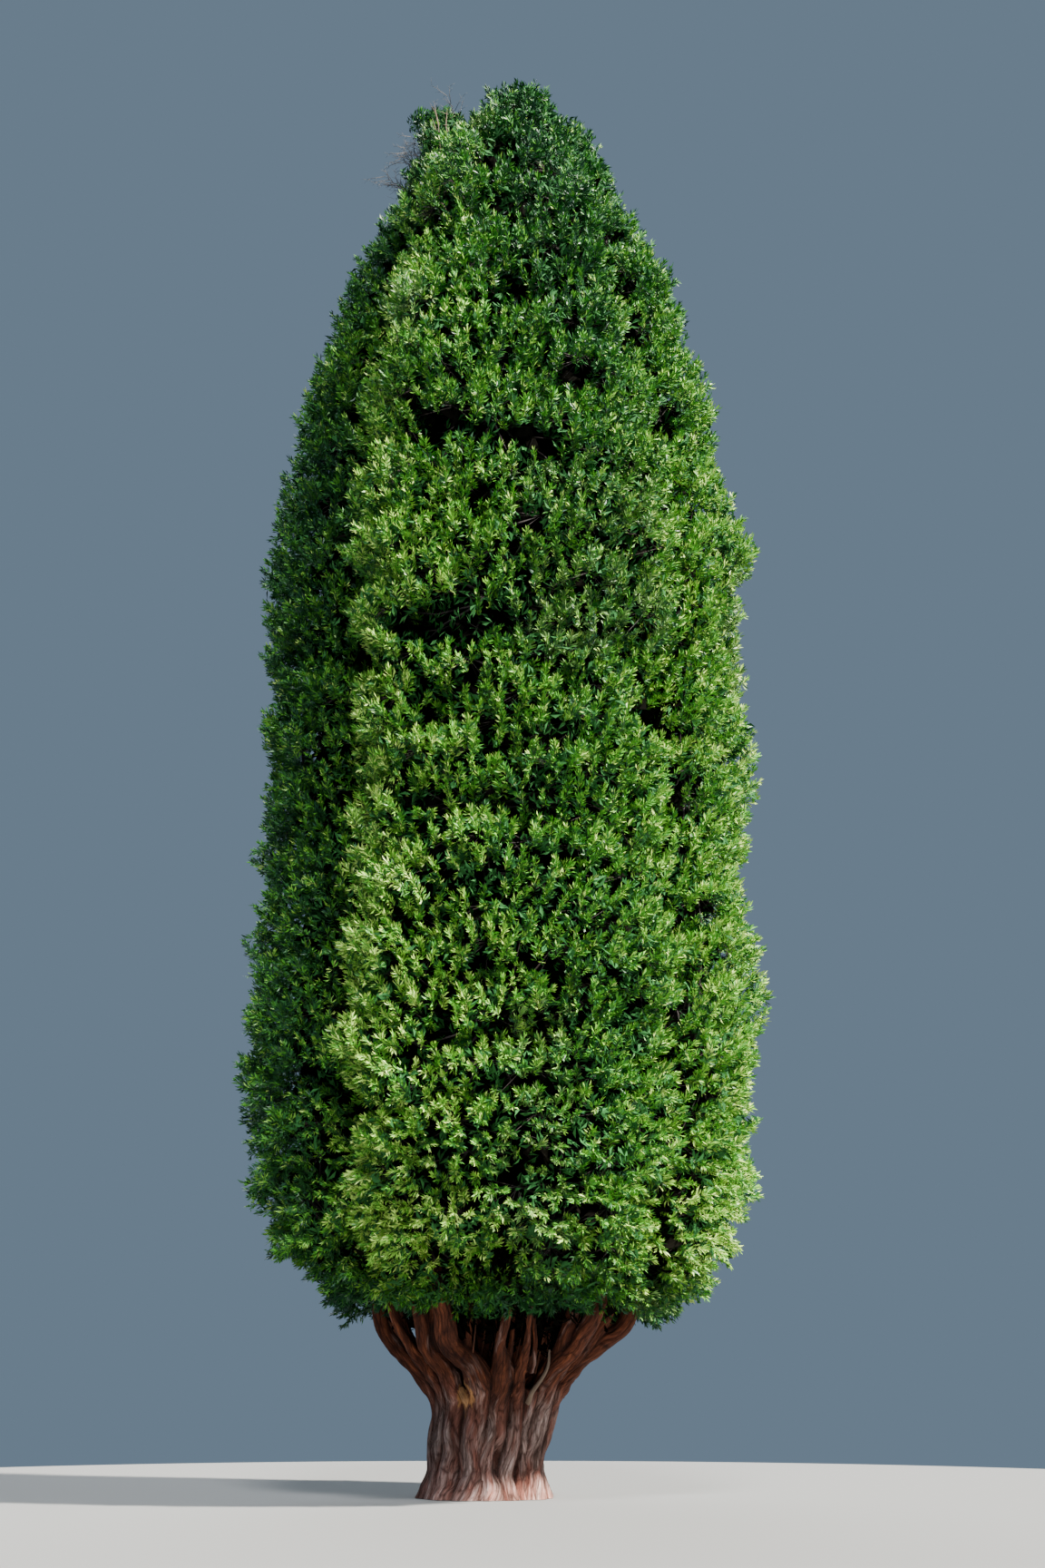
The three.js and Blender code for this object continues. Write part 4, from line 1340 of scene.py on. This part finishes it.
def place_light(root):
    """How much light falls where each spray stands, from patches, height, bearing and the rim."""
    height, bearing = root[:, 2], np.degrees(bearing_of(root))
    light = sum(strength * lattice_noise(root, size, seed) for strength, size, seed in LIGHT_PATCHES)
    light = light - LOSS_UPWARDS * (height - MIDDLE_HEIGHT) - LOSS_NEAR_TOP * np.maximum(0, height - NEAR_TOP)
    light = light + along(LOBE_PAINTED_LIGHT, bearing)
    light = light - RIM_SHADE * np.clip((RIM_SHADE_TOP - height) / 0.5, 0, 1)
    light = light + RIM_LIGHT * np.clip(1 - np.abs(height - RIM_LIGHT_HEIGHT) / 0.6, 0, 1)
    return light + np.clip((height - HIGH_FROM) / HIGH_SOFT, 0, 1) * along(HIGH_PAINTED_LIGHT, bearing)


def dealt_tones(root, light, random):
    """The number of the green that each spray takes: by its light, and olive in faded patches."""
    order = np.argsort(-light, kind="stable")
    tone = np.zeros(len(root), int)
    edges = np.cumsum([0] + [share for _, _, share in TONES]) * len(root)
    for number in range(len(TONES)):
        tone[order[int(edges[number]):int(edges[number + 1])]] = number
    faded = lattice_noise(root, 1.9, 41) - 0.6
    for place, reach in FADED_PATCHES:
        faded = np.maximum(faded, 1 - np.linalg.norm(root - np.array(place), axis=1) / reach)
    chance = np.clip(faded * 3, 0, FADED_SHARE)
    olive = (random.random(len(root)) < chance) & (tone > 0) & (tone < len(TONES) - 1)
    tone[olive] = len(TONES)
    return tone


@functools.lru_cache(maxsize=None)
def outer_sprays():
    """Every outer spray, with the number of the green that it takes."""
    random = np.random.default_rng(SEEDS["sprays"])
    _, tips, growth, plane, painted_tuft_light = branchlets()
    count = len(tips)
    full = random.uniform(0.82, 1.15, count)
    aside = np.cross(plane, growth)
    sets = []
    for k in range(SPRAYS_EACH):
        at = 0.12 + 0.88 * k / (SPRAYS_EACH - 1)
        side = np.where((np.arange(count) + k) % 2 == 0, 1.0, -1.0)
        turn = np.radians(along(SPRAY_ANGLE, at)) * side + random.normal(0, 0.2, count)
        direction = growth * np.cos(turn)[:, None] + aside * np.sin(turn)[:, None]
        direction = unit(direction + 0.26 * random.normal(size=(count, 3)))
        length = CROWN["spray"] * full * random.uniform(0.75, 1.15, count)
        root = tips - growth * (full * (BRANCHLET * (1 - at) + CROWN["spray"] * 0.55))[:, None]
        normal = square_to(plane + 0.65 * random.normal(size=(count, 3)), direction)
        # Painted light: paler out and up on the tuft and towards the branchlet's tip, with a random spread.
        light = 0.8 * painted_tuft_light + 0.3 * at + 0.9 * random.normal(size=count)
        sets.append((root, direction, np.cross(normal, direction), normal, length, light))
    root, direction, across, normal, length, light = (np.concatenate(part) for part in zip(*sets))
    tone = dealt_tones(root, light + place_light(root), random)
    curl = random.uniform(*CURL, len(root))
    return (root, direction, across, normal, length, curl), tone


def fan_directions(random, normal, spread):
    """For each root a direction that leans out and up, a way across it and a normal."""
    count = len(normal)
    direction = unit(normal * 0.5 + np.array([0, 0, 0.25]) + spread * random.normal(size=(count, 3)))
    flat = square_to(normal + 0.5 * random.normal(size=(count, 3)), direction)
    return direction, np.cross(flat, direction), flat


def inner_sprays():
    """Sprays deep inside the tufts, in a dark green that is painted shade."""
    random = np.random.default_rng(SEEDS["inner"])
    centre, axes, size = tuft_axes()
    owner = np.repeat(np.arange(len(centre)), INNER_EACH)
    count = len(owner)
    ball = unit(random.normal(size=(count, 3)) + np.array([0, 0, 0.9]))
    tips = centre[owner] + np.einsum("ni,nij->nj", INNER_REACH * ball * size[owner], axes[owner])
    direction, across, flat = fan_directions(random, axes[owner, 2], 0.6)
    length = random.uniform(*INNER_LENGTH, count)
    kept = tips[:, 2] < TREE_HEIGHT - INNER_BELOW_TOP
    made = tips - direction * length[:, None], direction, across, flat, length, np.zeros(count)
    return tuple(part[kept] for part in made)


def shell_sprays():
    """Dead sprays on the bare twigs further in, all the way up, near-black as painted shade."""
    random = np.random.default_rng(SEEDS["shell"])
    count = SHELL_COUNT
    bearing = random.uniform(0, math.tau, count)
    height = random.uniform(*SHELL_HEIGHTS, count)
    crown = crown_radius(bearing, np.minimum(height, STOREY_TOP - 0.1))
    reach = np.where(height < STOREY_TOP, crown, SHELL_TOP_REACH)
    share = random.uniform(*SHELL_SHARES, count)
    root = polar(bearing, reach * share, height)
    direction, across, flat = fan_directions(random, outward(bearing, 0.0), 0.9)
    longest = np.minimum(SHELL_LONGEST, np.clip(0.9 - share, 0.1, 0.3) * reach)
    return root, direction, across, flat, longest * random.uniform(0.8, 1.0, count), np.zeros(count)


def vase_sprays():
    """Dead sprays between the limbs at the foot of the crown, near-black as painted shade."""
    random = np.random.default_rng(SEEDS["vase"])
    count = VASE_COUNT
    bearing = random.uniform(0, math.tau, count)
    height = random.uniform(*VASE_HEIGHTS, count)
    root = polar(bearing, random.uniform(0.25, 1.0, count) * along(VASE_RADIUS, height), height)
    direction = unit(random.normal(size=(count, 3)) + np.array([0, 0, 0.5]))
    flat = square_to(random.normal(size=(count, 3)) + outward(bearing, 0.0), direction)
    length = random.uniform(*VASE_LENGTH, count)
    return root, direction, np.cross(flat, direction), flat, length, np.zeros(count)


# Twigs

# Radii of the stems to the masses, twigs to the tufts and branchlets, and the share at a twig's middle
STEM_RADIUS = 0.06
TWIG_RADIUS = 0.026
BRANCHLET_RADIUS = 0.008
MIDDLE_SHARE = 0.7
# The dead twigs: how far back each starts, how many start there, their radius, and side twigs by depth
DEAD_ROOT = (0.55, 0.1, -0.5)
DEAD_EACH = 4
DEAD_RADIUS = 0.013
DEAD_SIDE_TWIGS = {2: 7, 1: 4}
# Pale bare stems that show through the left top: foot and head
BARE_STEMS = [
    ((-0.86, -1.2, 21.6), (-0.98, -0.95, 22.75)),
    ((-0.7, -1.18, 21.8), (-0.76, -0.95, 22.7)),
    ((-0.62, -2.2, 19.7), (-0.95, -2.0, 20.55)),
]
BARE_STEM_RADIUS = 0.013
BARE_TWIG_RADIUS = 0.006
BARE_TWIGS_AT = (0.35, 0.5, 0.65, 0.8)
# Thin shoots between the boughs: number, distance out and height of the foot, further reach, top and radius
SHOOTS = 90
SHOOT_OUT = (0.55, 1.05)
SHOOT_FOOT = (1.35, 1.75)
SHOOT_REACH = (0.3, 0.75)
SHOOT_TOP = 3.0
SHOOT_RADIUS = (0.008, 0.024)


def prisms(starts, middles, ends, radii):
    """Three-sided tapering twigs, each bent at its middle and pointed at its end."""
    rings = []
    for here, there, share in ((starts, middles, 1.0), (middles, ends, MIDDLE_SHARE)):
        direction = unit(there - here)
        aside = unit(np.cross(direction, (0.31, 0.2, 0.93)))
        upper = np.cross(direction, aside)
        for angle in (0, math.tau / 3, 2 * math.tau / 3):
            way = aside * math.cos(angle) + upper * math.sin(angle)
            rings.append(here + way * (radii * share)[:, None])
    points = np.stack(rings + [ends], 1)
    triangles = [(0, 2, 1)]
    for i in range(3):
        j = (i + 1) % 3
        triangles += [(i, j, 3 + j), (i, 3 + j, 3 + i), (3 + i, 3 + j, 6)]
    index = np.array(triangles)[None] + (np.arange(len(points)) * 7)[:, None, None]
    return points.reshape(-1, 3), index.reshape(-1, 3)


def joined_prisms(name, groups, material):
    vertices, triangles, base = [], [], 0
    for group in groups:
        points, index = prisms(*group)
        vertices.append(points)
        triangles.append(index + base)
        base += len(points)
    return triangle_object(name, np.vstack(vertices), np.vstack(triangles), material)


def twig_groups():
    """Stems from the limbs to each mass, twigs to each tuft, and the branchlets that bear the sprays."""
    random = np.random.default_rng(SEEDS["twigs"])
    places = tufts()
    centres = np.array([t[0] for t in places])
    hubs = np.array([t[6][1] for t in places])
    meets = np.array([t[6][0] for t in places])
    _, first = np.unique(hubs.round(4), axis=0, return_index=True)
    bends = (meets[first] + hubs[first]) / 2 + random.normal(0, 0.08, (len(first), 3))
    to_masses = (meets[first], bends, hubs[first], np.full(len(first), STEM_RADIUS))
    starts = hubs + (meets - hubs) * random.uniform(0, 0.3, (len(hubs), 1))
    middles = (starts + centres) / 2 + random.normal(0, 0.09, centres.shape) - np.array([0, 0, 0.08])
    to_tufts = (starts, middles, centres, np.full(len(centres), TWIG_RADIUS))
    number, tips, growth, _, _ = branchlets()
    knees = tips - growth * (BRANCHLET * 0.9)
    to_tips = (centres[number], knees, tips - growth * 0.12, np.full(len(tips), BRANCHLET_RADIUS))
    return [to_masses, to_tufts, to_tips]


def dead_branches():
    """Bare dead twigs that stand out of the top on the left: each a twig with side twigs and theirs."""
    random = np.random.default_rng(SEEDS["dead twigs"])
    starts, middles, ends, radii = [], [], [], []

    def grow(start, direction, reach, radius, depth):
        end = start + direction * reach
        starts.append(start)
        middles.append((start + end) / 2 + random.normal(0, 0.03 * reach, 3))
        ends.append(end)
        radii.append(radius)
        if depth == 0:
            return
        count = DEAD_SIDE_TWIGS[depth]
        for i in range(count):
            at = 0.3 + 0.68 * (i + random.uniform(0, 0.6)) / count
            turn = (1 if i % 2 else -1) * random.uniform(0.45, 0.95)
            turned = Matrix.Rotation(turn, 3, "Y") @ Vector(direction)
            aside = unit(np.array(turned) + random.normal(0, 0.18, 3))
            shorter = reach * random.uniform(0.28, 0.42)
            grow(start + (end - start) * at, aside, shorter, radius * 0.5, depth - 1)

    for tip in np.array(DEAD_TWIG_TIPS):
        root = tip + np.array(DEAD_ROOT)
        for _ in range(DEAD_EACH):
            away = tip + random.normal(0, 0.11, 3) - root
            grow(root, unit(away), float(np.linalg.norm(away)), DEAD_RADIUS, max(DEAD_SIDE_TWIGS))
    return [tuple(np.array(part) for part in (starts, middles, ends, radii))]


def bare_stems():
    """The pale stems, each with a few side twigs."""
    random = np.random.default_rng(SEEDS["bare stems"])
    foot, head = (np.array([stem[i] for stem in BARE_STEMS]) for i in (0, 1))
    rise = head - foot
    middle = (foot + head) / 2 + random.normal(0, 0.03, foot.shape)
    groups = [(foot, middle, head, np.full(len(foot), BARE_STEM_RADIUS))]
    for at in BARE_TWIGS_AT:
        start = foot + rise * at
        end = start + rise * 0.22 + random.normal(0, 0.1, foot.shape)
        groups.append((start, (start + end) / 2, end, np.full(len(foot), BARE_TWIG_RADIUS)))
    return groups


def shoots():
    """Thin bare shoots that stand up between the boughs."""
    random = np.random.default_rng(SEEDS["shoots"])
    bearing = random.uniform(0, math.tau, SHOOTS)
    out = random.uniform(*SHOOT_OUT, SHOOTS)
    start = polar(bearing, out, random.uniform(*SHOOT_FOOT, SHOOTS))
    turned = bearing + random.normal(0, 0.12, SHOOTS)
    end = polar(turned, out + random.uniform(*SHOOT_REACH, SHOOTS), SHOOT_TOP)
    middle = (start + end) / 2 + random.normal(0, 0.06, (SHOOTS, 3))
    return [(start, middle, end, random.uniform(*SHOOT_RADIUS, SHOOTS))]


# Two broken limbs

SNAG_PATH = [
    (0.62, -0.86, 1.3), (0.68, -1.0, 1.45), (0.82, -1.08, 1.64), (0.9, -1.12, 1.8), (0.92, -1.17, 2.02),
]
SNAG_RADII = [0.04, 0.032, 0.024, 0.02, 0.012]
STUB_PATH = [(-0.33, -0.88, 1.5), (-0.3, -0.95, 1.42), (-0.27, -1.01, 1.34), (-0.25, -1.03, 1.25)]
STUB_RADII = [0.035, 0.05, 0.045, 0.01]
BROKEN_STEPS = 8
BROKEN_SIDES = 18
BROKEN_CREASE = 60


def broken_limb(name, points, radii, material, roughness):
    """A short bare limb, ridged along its length."""
    path, thick = smooth_path(points, radii, BROKEN_STEPS)
    vertices, faces = tube(path, thick, BROKEN_SIDES)
    centre = np.repeat(path, BROKEN_SIDES, axis=0)
    angle = ring_angles(BROKEN_SIDES, len(path))
    ridge = 1 + roughness * lattice_noise(points_at(angle * 1.5, vertices[:, 2] * 1.2, 0.0), 0.5, 7)
    made = mesh_object(name, centre + (vertices - centre) * ridge[:, None], faces, material)
    length = np.repeat(np.arange(len(path)) * 0.04, BROKEN_SIDES)
    add_attribute(made, "grain", points_at(angle * 0.05, length, 0.0))
    smooth(made, BROKEN_CREASE)
    return made


def dress(piece, slot, *nodes):
    """Attaches a finished piece to the root body that it rides on and hides the nodes that it stands for; its
    slot is not used.
    """
    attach(piece, "root")
    if nodes:
        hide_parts(*nodes)


# Settings, operators and panel

def colour_setting(name, description, default):
    return bpy.props.FloatVectorProperty(name=name, description=description, subtype="COLOR", default=default)


def length_setting(name, description, default, least):
    return bpy.props.FloatProperty(
        name=name, description=description, default=default, min=least, subtype="DISTANCE", unit="LENGTH"
    )


def angle_setting(name, description, degrees):
    return bpy.props.FloatProperty(
        name=name, description=description, default=math.radians(degrees), subtype="ANGLE", unit="ROTATION"
    )


def power_setting(name, description, default):
    return bpy.props.FloatProperty(name=name, description=description, default=default, min=0.0)


class CedarBarkSettings(bpy.types.PropertyGroup):
    ridge_depth: length_setting("Ridge depth", "How deep the furrows between the ridges are", 0.05, 0.0)
    trunk: colour_setting("Trunk", "Weathered bark low on the trunk", (0.235, 0.162, 0.147))
    trunk_light: colour_setting("Trunk ridges", "Palest weathered ridges", (0.47, 0.37, 0.35))
    bough: colour_setting("Boughs", "Orange-brown bark of the boughs", (0.068, 0.02, 0.01))
    bough_light: colour_setting("Bough strips", "Paler strips on the boughs", (0.15, 0.046, 0.02))
    strip: colour_setting("Loose strips", "Palest loose fibres", (0.34, 0.11, 0.045))
    dead_wood: colour_setting("Dead wood", "Bare weathered wood", (0.28, 0.19, 0.13))
    dead_twig: colour_setting("Dead twigs", "Bare dead twigs at the top", (0.07, 0.062, 0.056))
    torn_wood: colour_setting("Torn wood", "Wood at the torn stub", (0.55, 0.27, 0.11))


class CedarFoliageSettings(bpy.types.PropertyGroup):
    spray_length: length_setting("Spray length", "Length of one spray of leaves", CROWN["spray"], 0.05)
    gap: length_setting("Gap", "Least distance between the tips of two branchlets", CROWN["gap"], 0.1)
    # The greens from the pale tips to the shade green are dealt out by painted light, the palest to the most
    # lit sprays.
    tip_pale: colour_setting("Pale tips", "Lit tips", (0.48, 0.69, 0.14))
    # Painted light: given to the well-lit sprays after the pale tips.
    light: colour_setting("Light green", "Young sprays", (0.21, 0.45, 0.05))
    fresh: colour_setting("Fresh green", "Saturated green", (0.08, 0.31, 0.02))
    mid: colour_setting("Mid green", "Commonest green", (0.043, 0.19, 0.02))
    # Painted shade: given to the less lit sprays.
    deep: colour_setting("Deep green", "Older sprays", (0.021, 0.11, 0.022))
    # Painted shade: the least lit sprays, tinted blue as skylit shade.
    shade: colour_setting("Shade green", "Sprays low in each tuft", (0.013, 0.066, 0.026))
    olive: colour_setting("Olive", "Grey-green patches", (0.14, 0.27, 0.065))
    # Painted shade: the darker green of the sprays inside the tufts.
    inner: colour_setting("Inner green", "Dark sprays inside the tufts", (0.019, 0.098, 0.022))
    # Dead sprays, coloured near-black as painted shade.
    dead: colour_setting("Dead brown", "Dead sprays deep in the crown", (0.004, 0.0035, 0.002))


class CedarStageSettings(bpy.types.PropertyGroup):
    sun_bearing: angle_setting("Key bearing", "Where the key light stands, from the front towards +X", 66)
    sun_height: angle_setting("Key height", "How high the key light stands", 48)
    sun_strength: power_setting("Key strength", "Power of the key light", 20.5)
    front_strength: power_setting("Front strength", "Power of the soft light from the front", 4.4)
    back_strength: power_setting("Back strength", "Power of the soft light from behind", 2.0)
    sky_strength: power_setting("Fill strength", "Power of the even fill", 0.27)
    floor: colour_setting("Floor", "Plain pale floor", (0.18, 0.18, 0.175))


class CEDAR_OT_bark(bpy.types.Operator):
    """Makes the trunk, the boughs and the limbs inside the crown, with their bark"""

    bl_idname = "cedar.bark"
    bl_label = "Trunk and boughs"

    def execute(self, context):
        settings = context.scene.cedar_bark
        trunk, boughs = make_bark(settings)
        upper = make_upper_limbs(trunk.data.materials[0])
        tall = [f"bough_{i + 1:02d}" for i, bough in enumerate(BOUGHS) if bough[4] is not None]
        dress(trunk, "bark", "trunk")
        dress(boughs, "bough_bark", *LIMB_NODES)
        dress(upper, "bough_bark", "leader", *tall)
        return {"FINISHED"}


class CEDAR_OT_broken_limbs(bpy.types.Operator):
    """Makes the bare snag and the torn stub low on the front"""

    bl_idname = "cedar.broken_limbs"
    bl_label = "Broken limbs"

    def execute(self, context):
        settings = context.scene.cedar_bark
        pale, dark = (scaled(settings.dead_wood, share) for share in (0.7, 0.25))
        grey = dead_wood_material("dead_wood", pale, dark)
        torn = dead_wood_material("torn_wood", settings.torn_wood, scaled(settings.torn_wood, 0.25))
        dress(broken_limb("bare_snag", SNAG_PATH, SNAG_RADII, grey, 0.12), "dead_wood")
        dress(broken_limb("torn_stub", STUB_PATH, STUB_RADII, torn, 0.5), "dead_wood")
        return {"FINISHED"}


# Roughness and gloss of living sprays, of those inside the tufts, and of dead ones
LEAF_FINISH = (0.45, 0.35)
INNER_FINISH = (0.8, 0.15)
DEAD_FINISH = (0.95, 0.05)


class CEDAR_OT_sprays(bpy.types.Operator):
    """Grows the sprays of leaves on every tuft, each green in a piece of its own"""

    bl_idname = "cedar.sprays"
    bl_label = "Sprays"

    def execute(self, context):
        settings = context.scene.cedar_foliage
        CROWN.update(gap=settings.gap, spray=settings.spray_length)
        sprays, tone = outer_sprays()
        names = [(name, slot) for name, slot, _ in TONES] + [("sprays_olive", "foliage_light")]
        for number, (name, slot) in enumerate(names):
            chosen = [part[tone == number] for part in sprays]
            colour = getattr(settings, name.replace("sprays_", ""))
            material = leaf_material(name, colour, *LEAF_FINISH)
            dress(spray_mesh(name, chosen, CROWN["finger"], material), slot, *MASS_NODES)
        # Painted shade: the inner sprays take a darker green.
        dark = leaf_material("sprays_inner", settings.inner, *INNER_FINISH)
        # Dead sprays take a near-black that is painted shade.
        dead = leaf_material("sprays_dead", settings.dead, *DEAD_FINISH)
        kinds = [
            ("sprays_inner", inner_sprays(), INNER_FINGER, dark),
            ("sprays_shell", shell_sprays(), SHELL_FINGER, dead),
            ("sprays_vase", vase_sprays(), VASE_FINGER, dead),
        ]
        for kind in kinds:
            dress(spray_mesh(*kind), "foliage_deep", *MASS_NODES)
        return {"FINISHED"}


class CEDAR_OT_twigs(bpy.types.Operator):
    """Grows the twigs that bear the sprays, the bare shoots and the dead twigs"""

    bl_idname = "cedar.twigs"
    bl_label = "Twigs"

    def execute(self, context):
        settings = context.scene.cedar_bark
        pieces = [
            ("twigs", twig_groups(), "twig_bark", scaled(settings.bough, 0.14), "bough_bark", MASS_NODES),
            ("bare_shoots", shoots(), "shoot_bark", settings.bough_light, "bough_bark", []),
            ("dead_twigs", dead_branches(), "dead_twig", settings.dead_twig, "dead_wood", []),
            ("bare_stems", bare_stems(), "pale_stem", scaled(settings.dead_wood, 0.6), "dead_wood", []),
        ]
        for name, groups, material, colour, slot, nodes in pieces:
            dress(joined_prisms(name, groups, twig_material(material, colour)), slot, *nodes)
        return {"FINISHED"}


# The floor: corners, radius, and height just under the tree's foot
FLOOR_CORNERS = 128
FLOOR_RADIUS = 15
FLOOR_HEIGHT = -0.005
# Each lamp's size in degrees and its colour, and the places of the two soft ones
KEY_LAMP = (3, (1, 0.96, 0.88))
FRONT_LAMP = (12, (0.96, 0.98, 1))
BACK_LAMP = (40, (0.85, 0.93, 1))
FRONT_PLACE = (math.radians(2), math.radians(50))
BACK_PLACE = (math.radians(-172), math.radians(38))
FILL_COLOUR = (0.52, 0.74, 1.0, 1)
# The camera: place, pitch, focal length in pixels, the image's height in pixels and in millimetres of sensor
CAMERA_PLACE = (0.54, -30.1, 1.5)
CAMERA_PITCH = math.radians(17.06)
CAMERA_FOCAL = 2170
IMAGE_HEIGHT = 1728
SENSOR_HEIGHT = 36
FARTHEST = 400


class CEDAR_OT_stage(bpy.types.Operator):
    """Sets a plain pale floor, soft light and the camera"""

    bl_idname = "cedar.stage"
    bl_label = "Stage"

    def execute(self, context):
        settings = context.scene.cedar_stage
        deselect_all()
        bpy.ops.mesh.primitive_circle_add(
            vertices=FLOOR_CORNERS, radius=FLOOR_RADIUS, fill_type="NGON", location=(0, 0, FLOOR_HEIGHT)
        )
        floor = context.view_layer.objects.active
        floor.name = "floor"
        shader = Shader("floor")
        shader.set(Base_Color=tuple(settings.floor), Roughness=0.9)
        floor.data.materials.append(shader.material)
        lamps = [
            ("key", settings.sun_strength, KEY_LAMP, (settings.sun_bearing, settings.sun_height)),
            ("front", settings.front_strength, FRONT_LAMP, FRONT_PLACE),
            ("back", settings.back_strength, BACK_LAMP, BACK_PLACE),
        ]
        for name, strength, (size, colour), (bearing, height) in lamps:
            lamp = bpy.data.lights.new(name, "SUN")
            lamp.energy = strength
            lamp.angle = math.radians(size)
            lamp.color = colour
            placed = bpy.data.objects.new(name, lamp)
            placed.rotation_euler = (math.pi / 2 - height, 0, bearing)
            context.scene.collection.objects.link(placed)
        world = bpy.data.worlds.new("studio")
        world.use_nodes = True
        sky = world.node_tree.nodes["Background"]
        sky.inputs["Color"].default_value = FILL_COLOUR
        sky.inputs["Strength"].default_value = settings.sky_strength
        context.scene.world = world
        camera = bpy.data.cameras.new("camera")
        camera.sensor_fit = "VERTICAL"
        camera.sensor_height = SENSOR_HEIGHT
        camera.lens = CAMERA_FOCAL / IMAGE_HEIGHT * SENSOR_HEIGHT
        camera.clip_end = FARTHEST
        view = bpy.data.objects.new("camera", camera)
        view.location = CAMERA_PLACE
        view.rotation_euler = (math.pi / 2 + CAMERA_PITCH, 0, 0)
        context.scene.collection.objects.link(view)
        context.scene.camera = view
        return {"FINISHED"}


SETTINGS = {
    "cedar_bark": CedarBarkSettings,
    "cedar_foliage": CedarFoliageSettings,
    "cedar_stage": CedarStageSettings,
}
OPERATORS = [CEDAR_OT_bark, CEDAR_OT_broken_limbs, CEDAR_OT_sprays, CEDAR_OT_twigs, CEDAR_OT_stage]


class CEDAR_PT_panel(bpy.types.Panel):
    bl_idname = "CEDAR_PT_panel"
    bl_label = "Incense cedar"
    bl_space_type = "VIEW_3D"
    bl_region_type = "UI"
    bl_category = "Cedar"

    def draw(self, context):
        for group in (getattr(context.scene, name) for name in SETTINGS):
            for name in group.bl_rna.properties.keys():
                if name not in ("rna_type", "name"):
                    self.layout.prop(group, name)
        for operator in OPERATORS:
            self.layout.operator(operator.bl_idname)


CLASSES = [*SETTINGS.values(), *OPERATORS, CEDAR_PT_panel]


def register():
    for item in CLASSES:
        bpy.utils.register_class(item)
    for name, group in SETTINGS.items():
        setattr(bpy.types.Scene, name, bpy.props.PointerProperty(type=group))


def unregister():
    for name in SETTINGS:
        delattr(bpy.types.Scene, name)
    for item in reversed(CLASSES):
        bpy.utils.unregister_class(item)


def main():
    register()
    for operator in OPERATORS:
        group, name = operator.bl_idname.split(".")
        getattr(getattr(bpy.ops, group), name)()


if __name__ == "__main__":
    main()
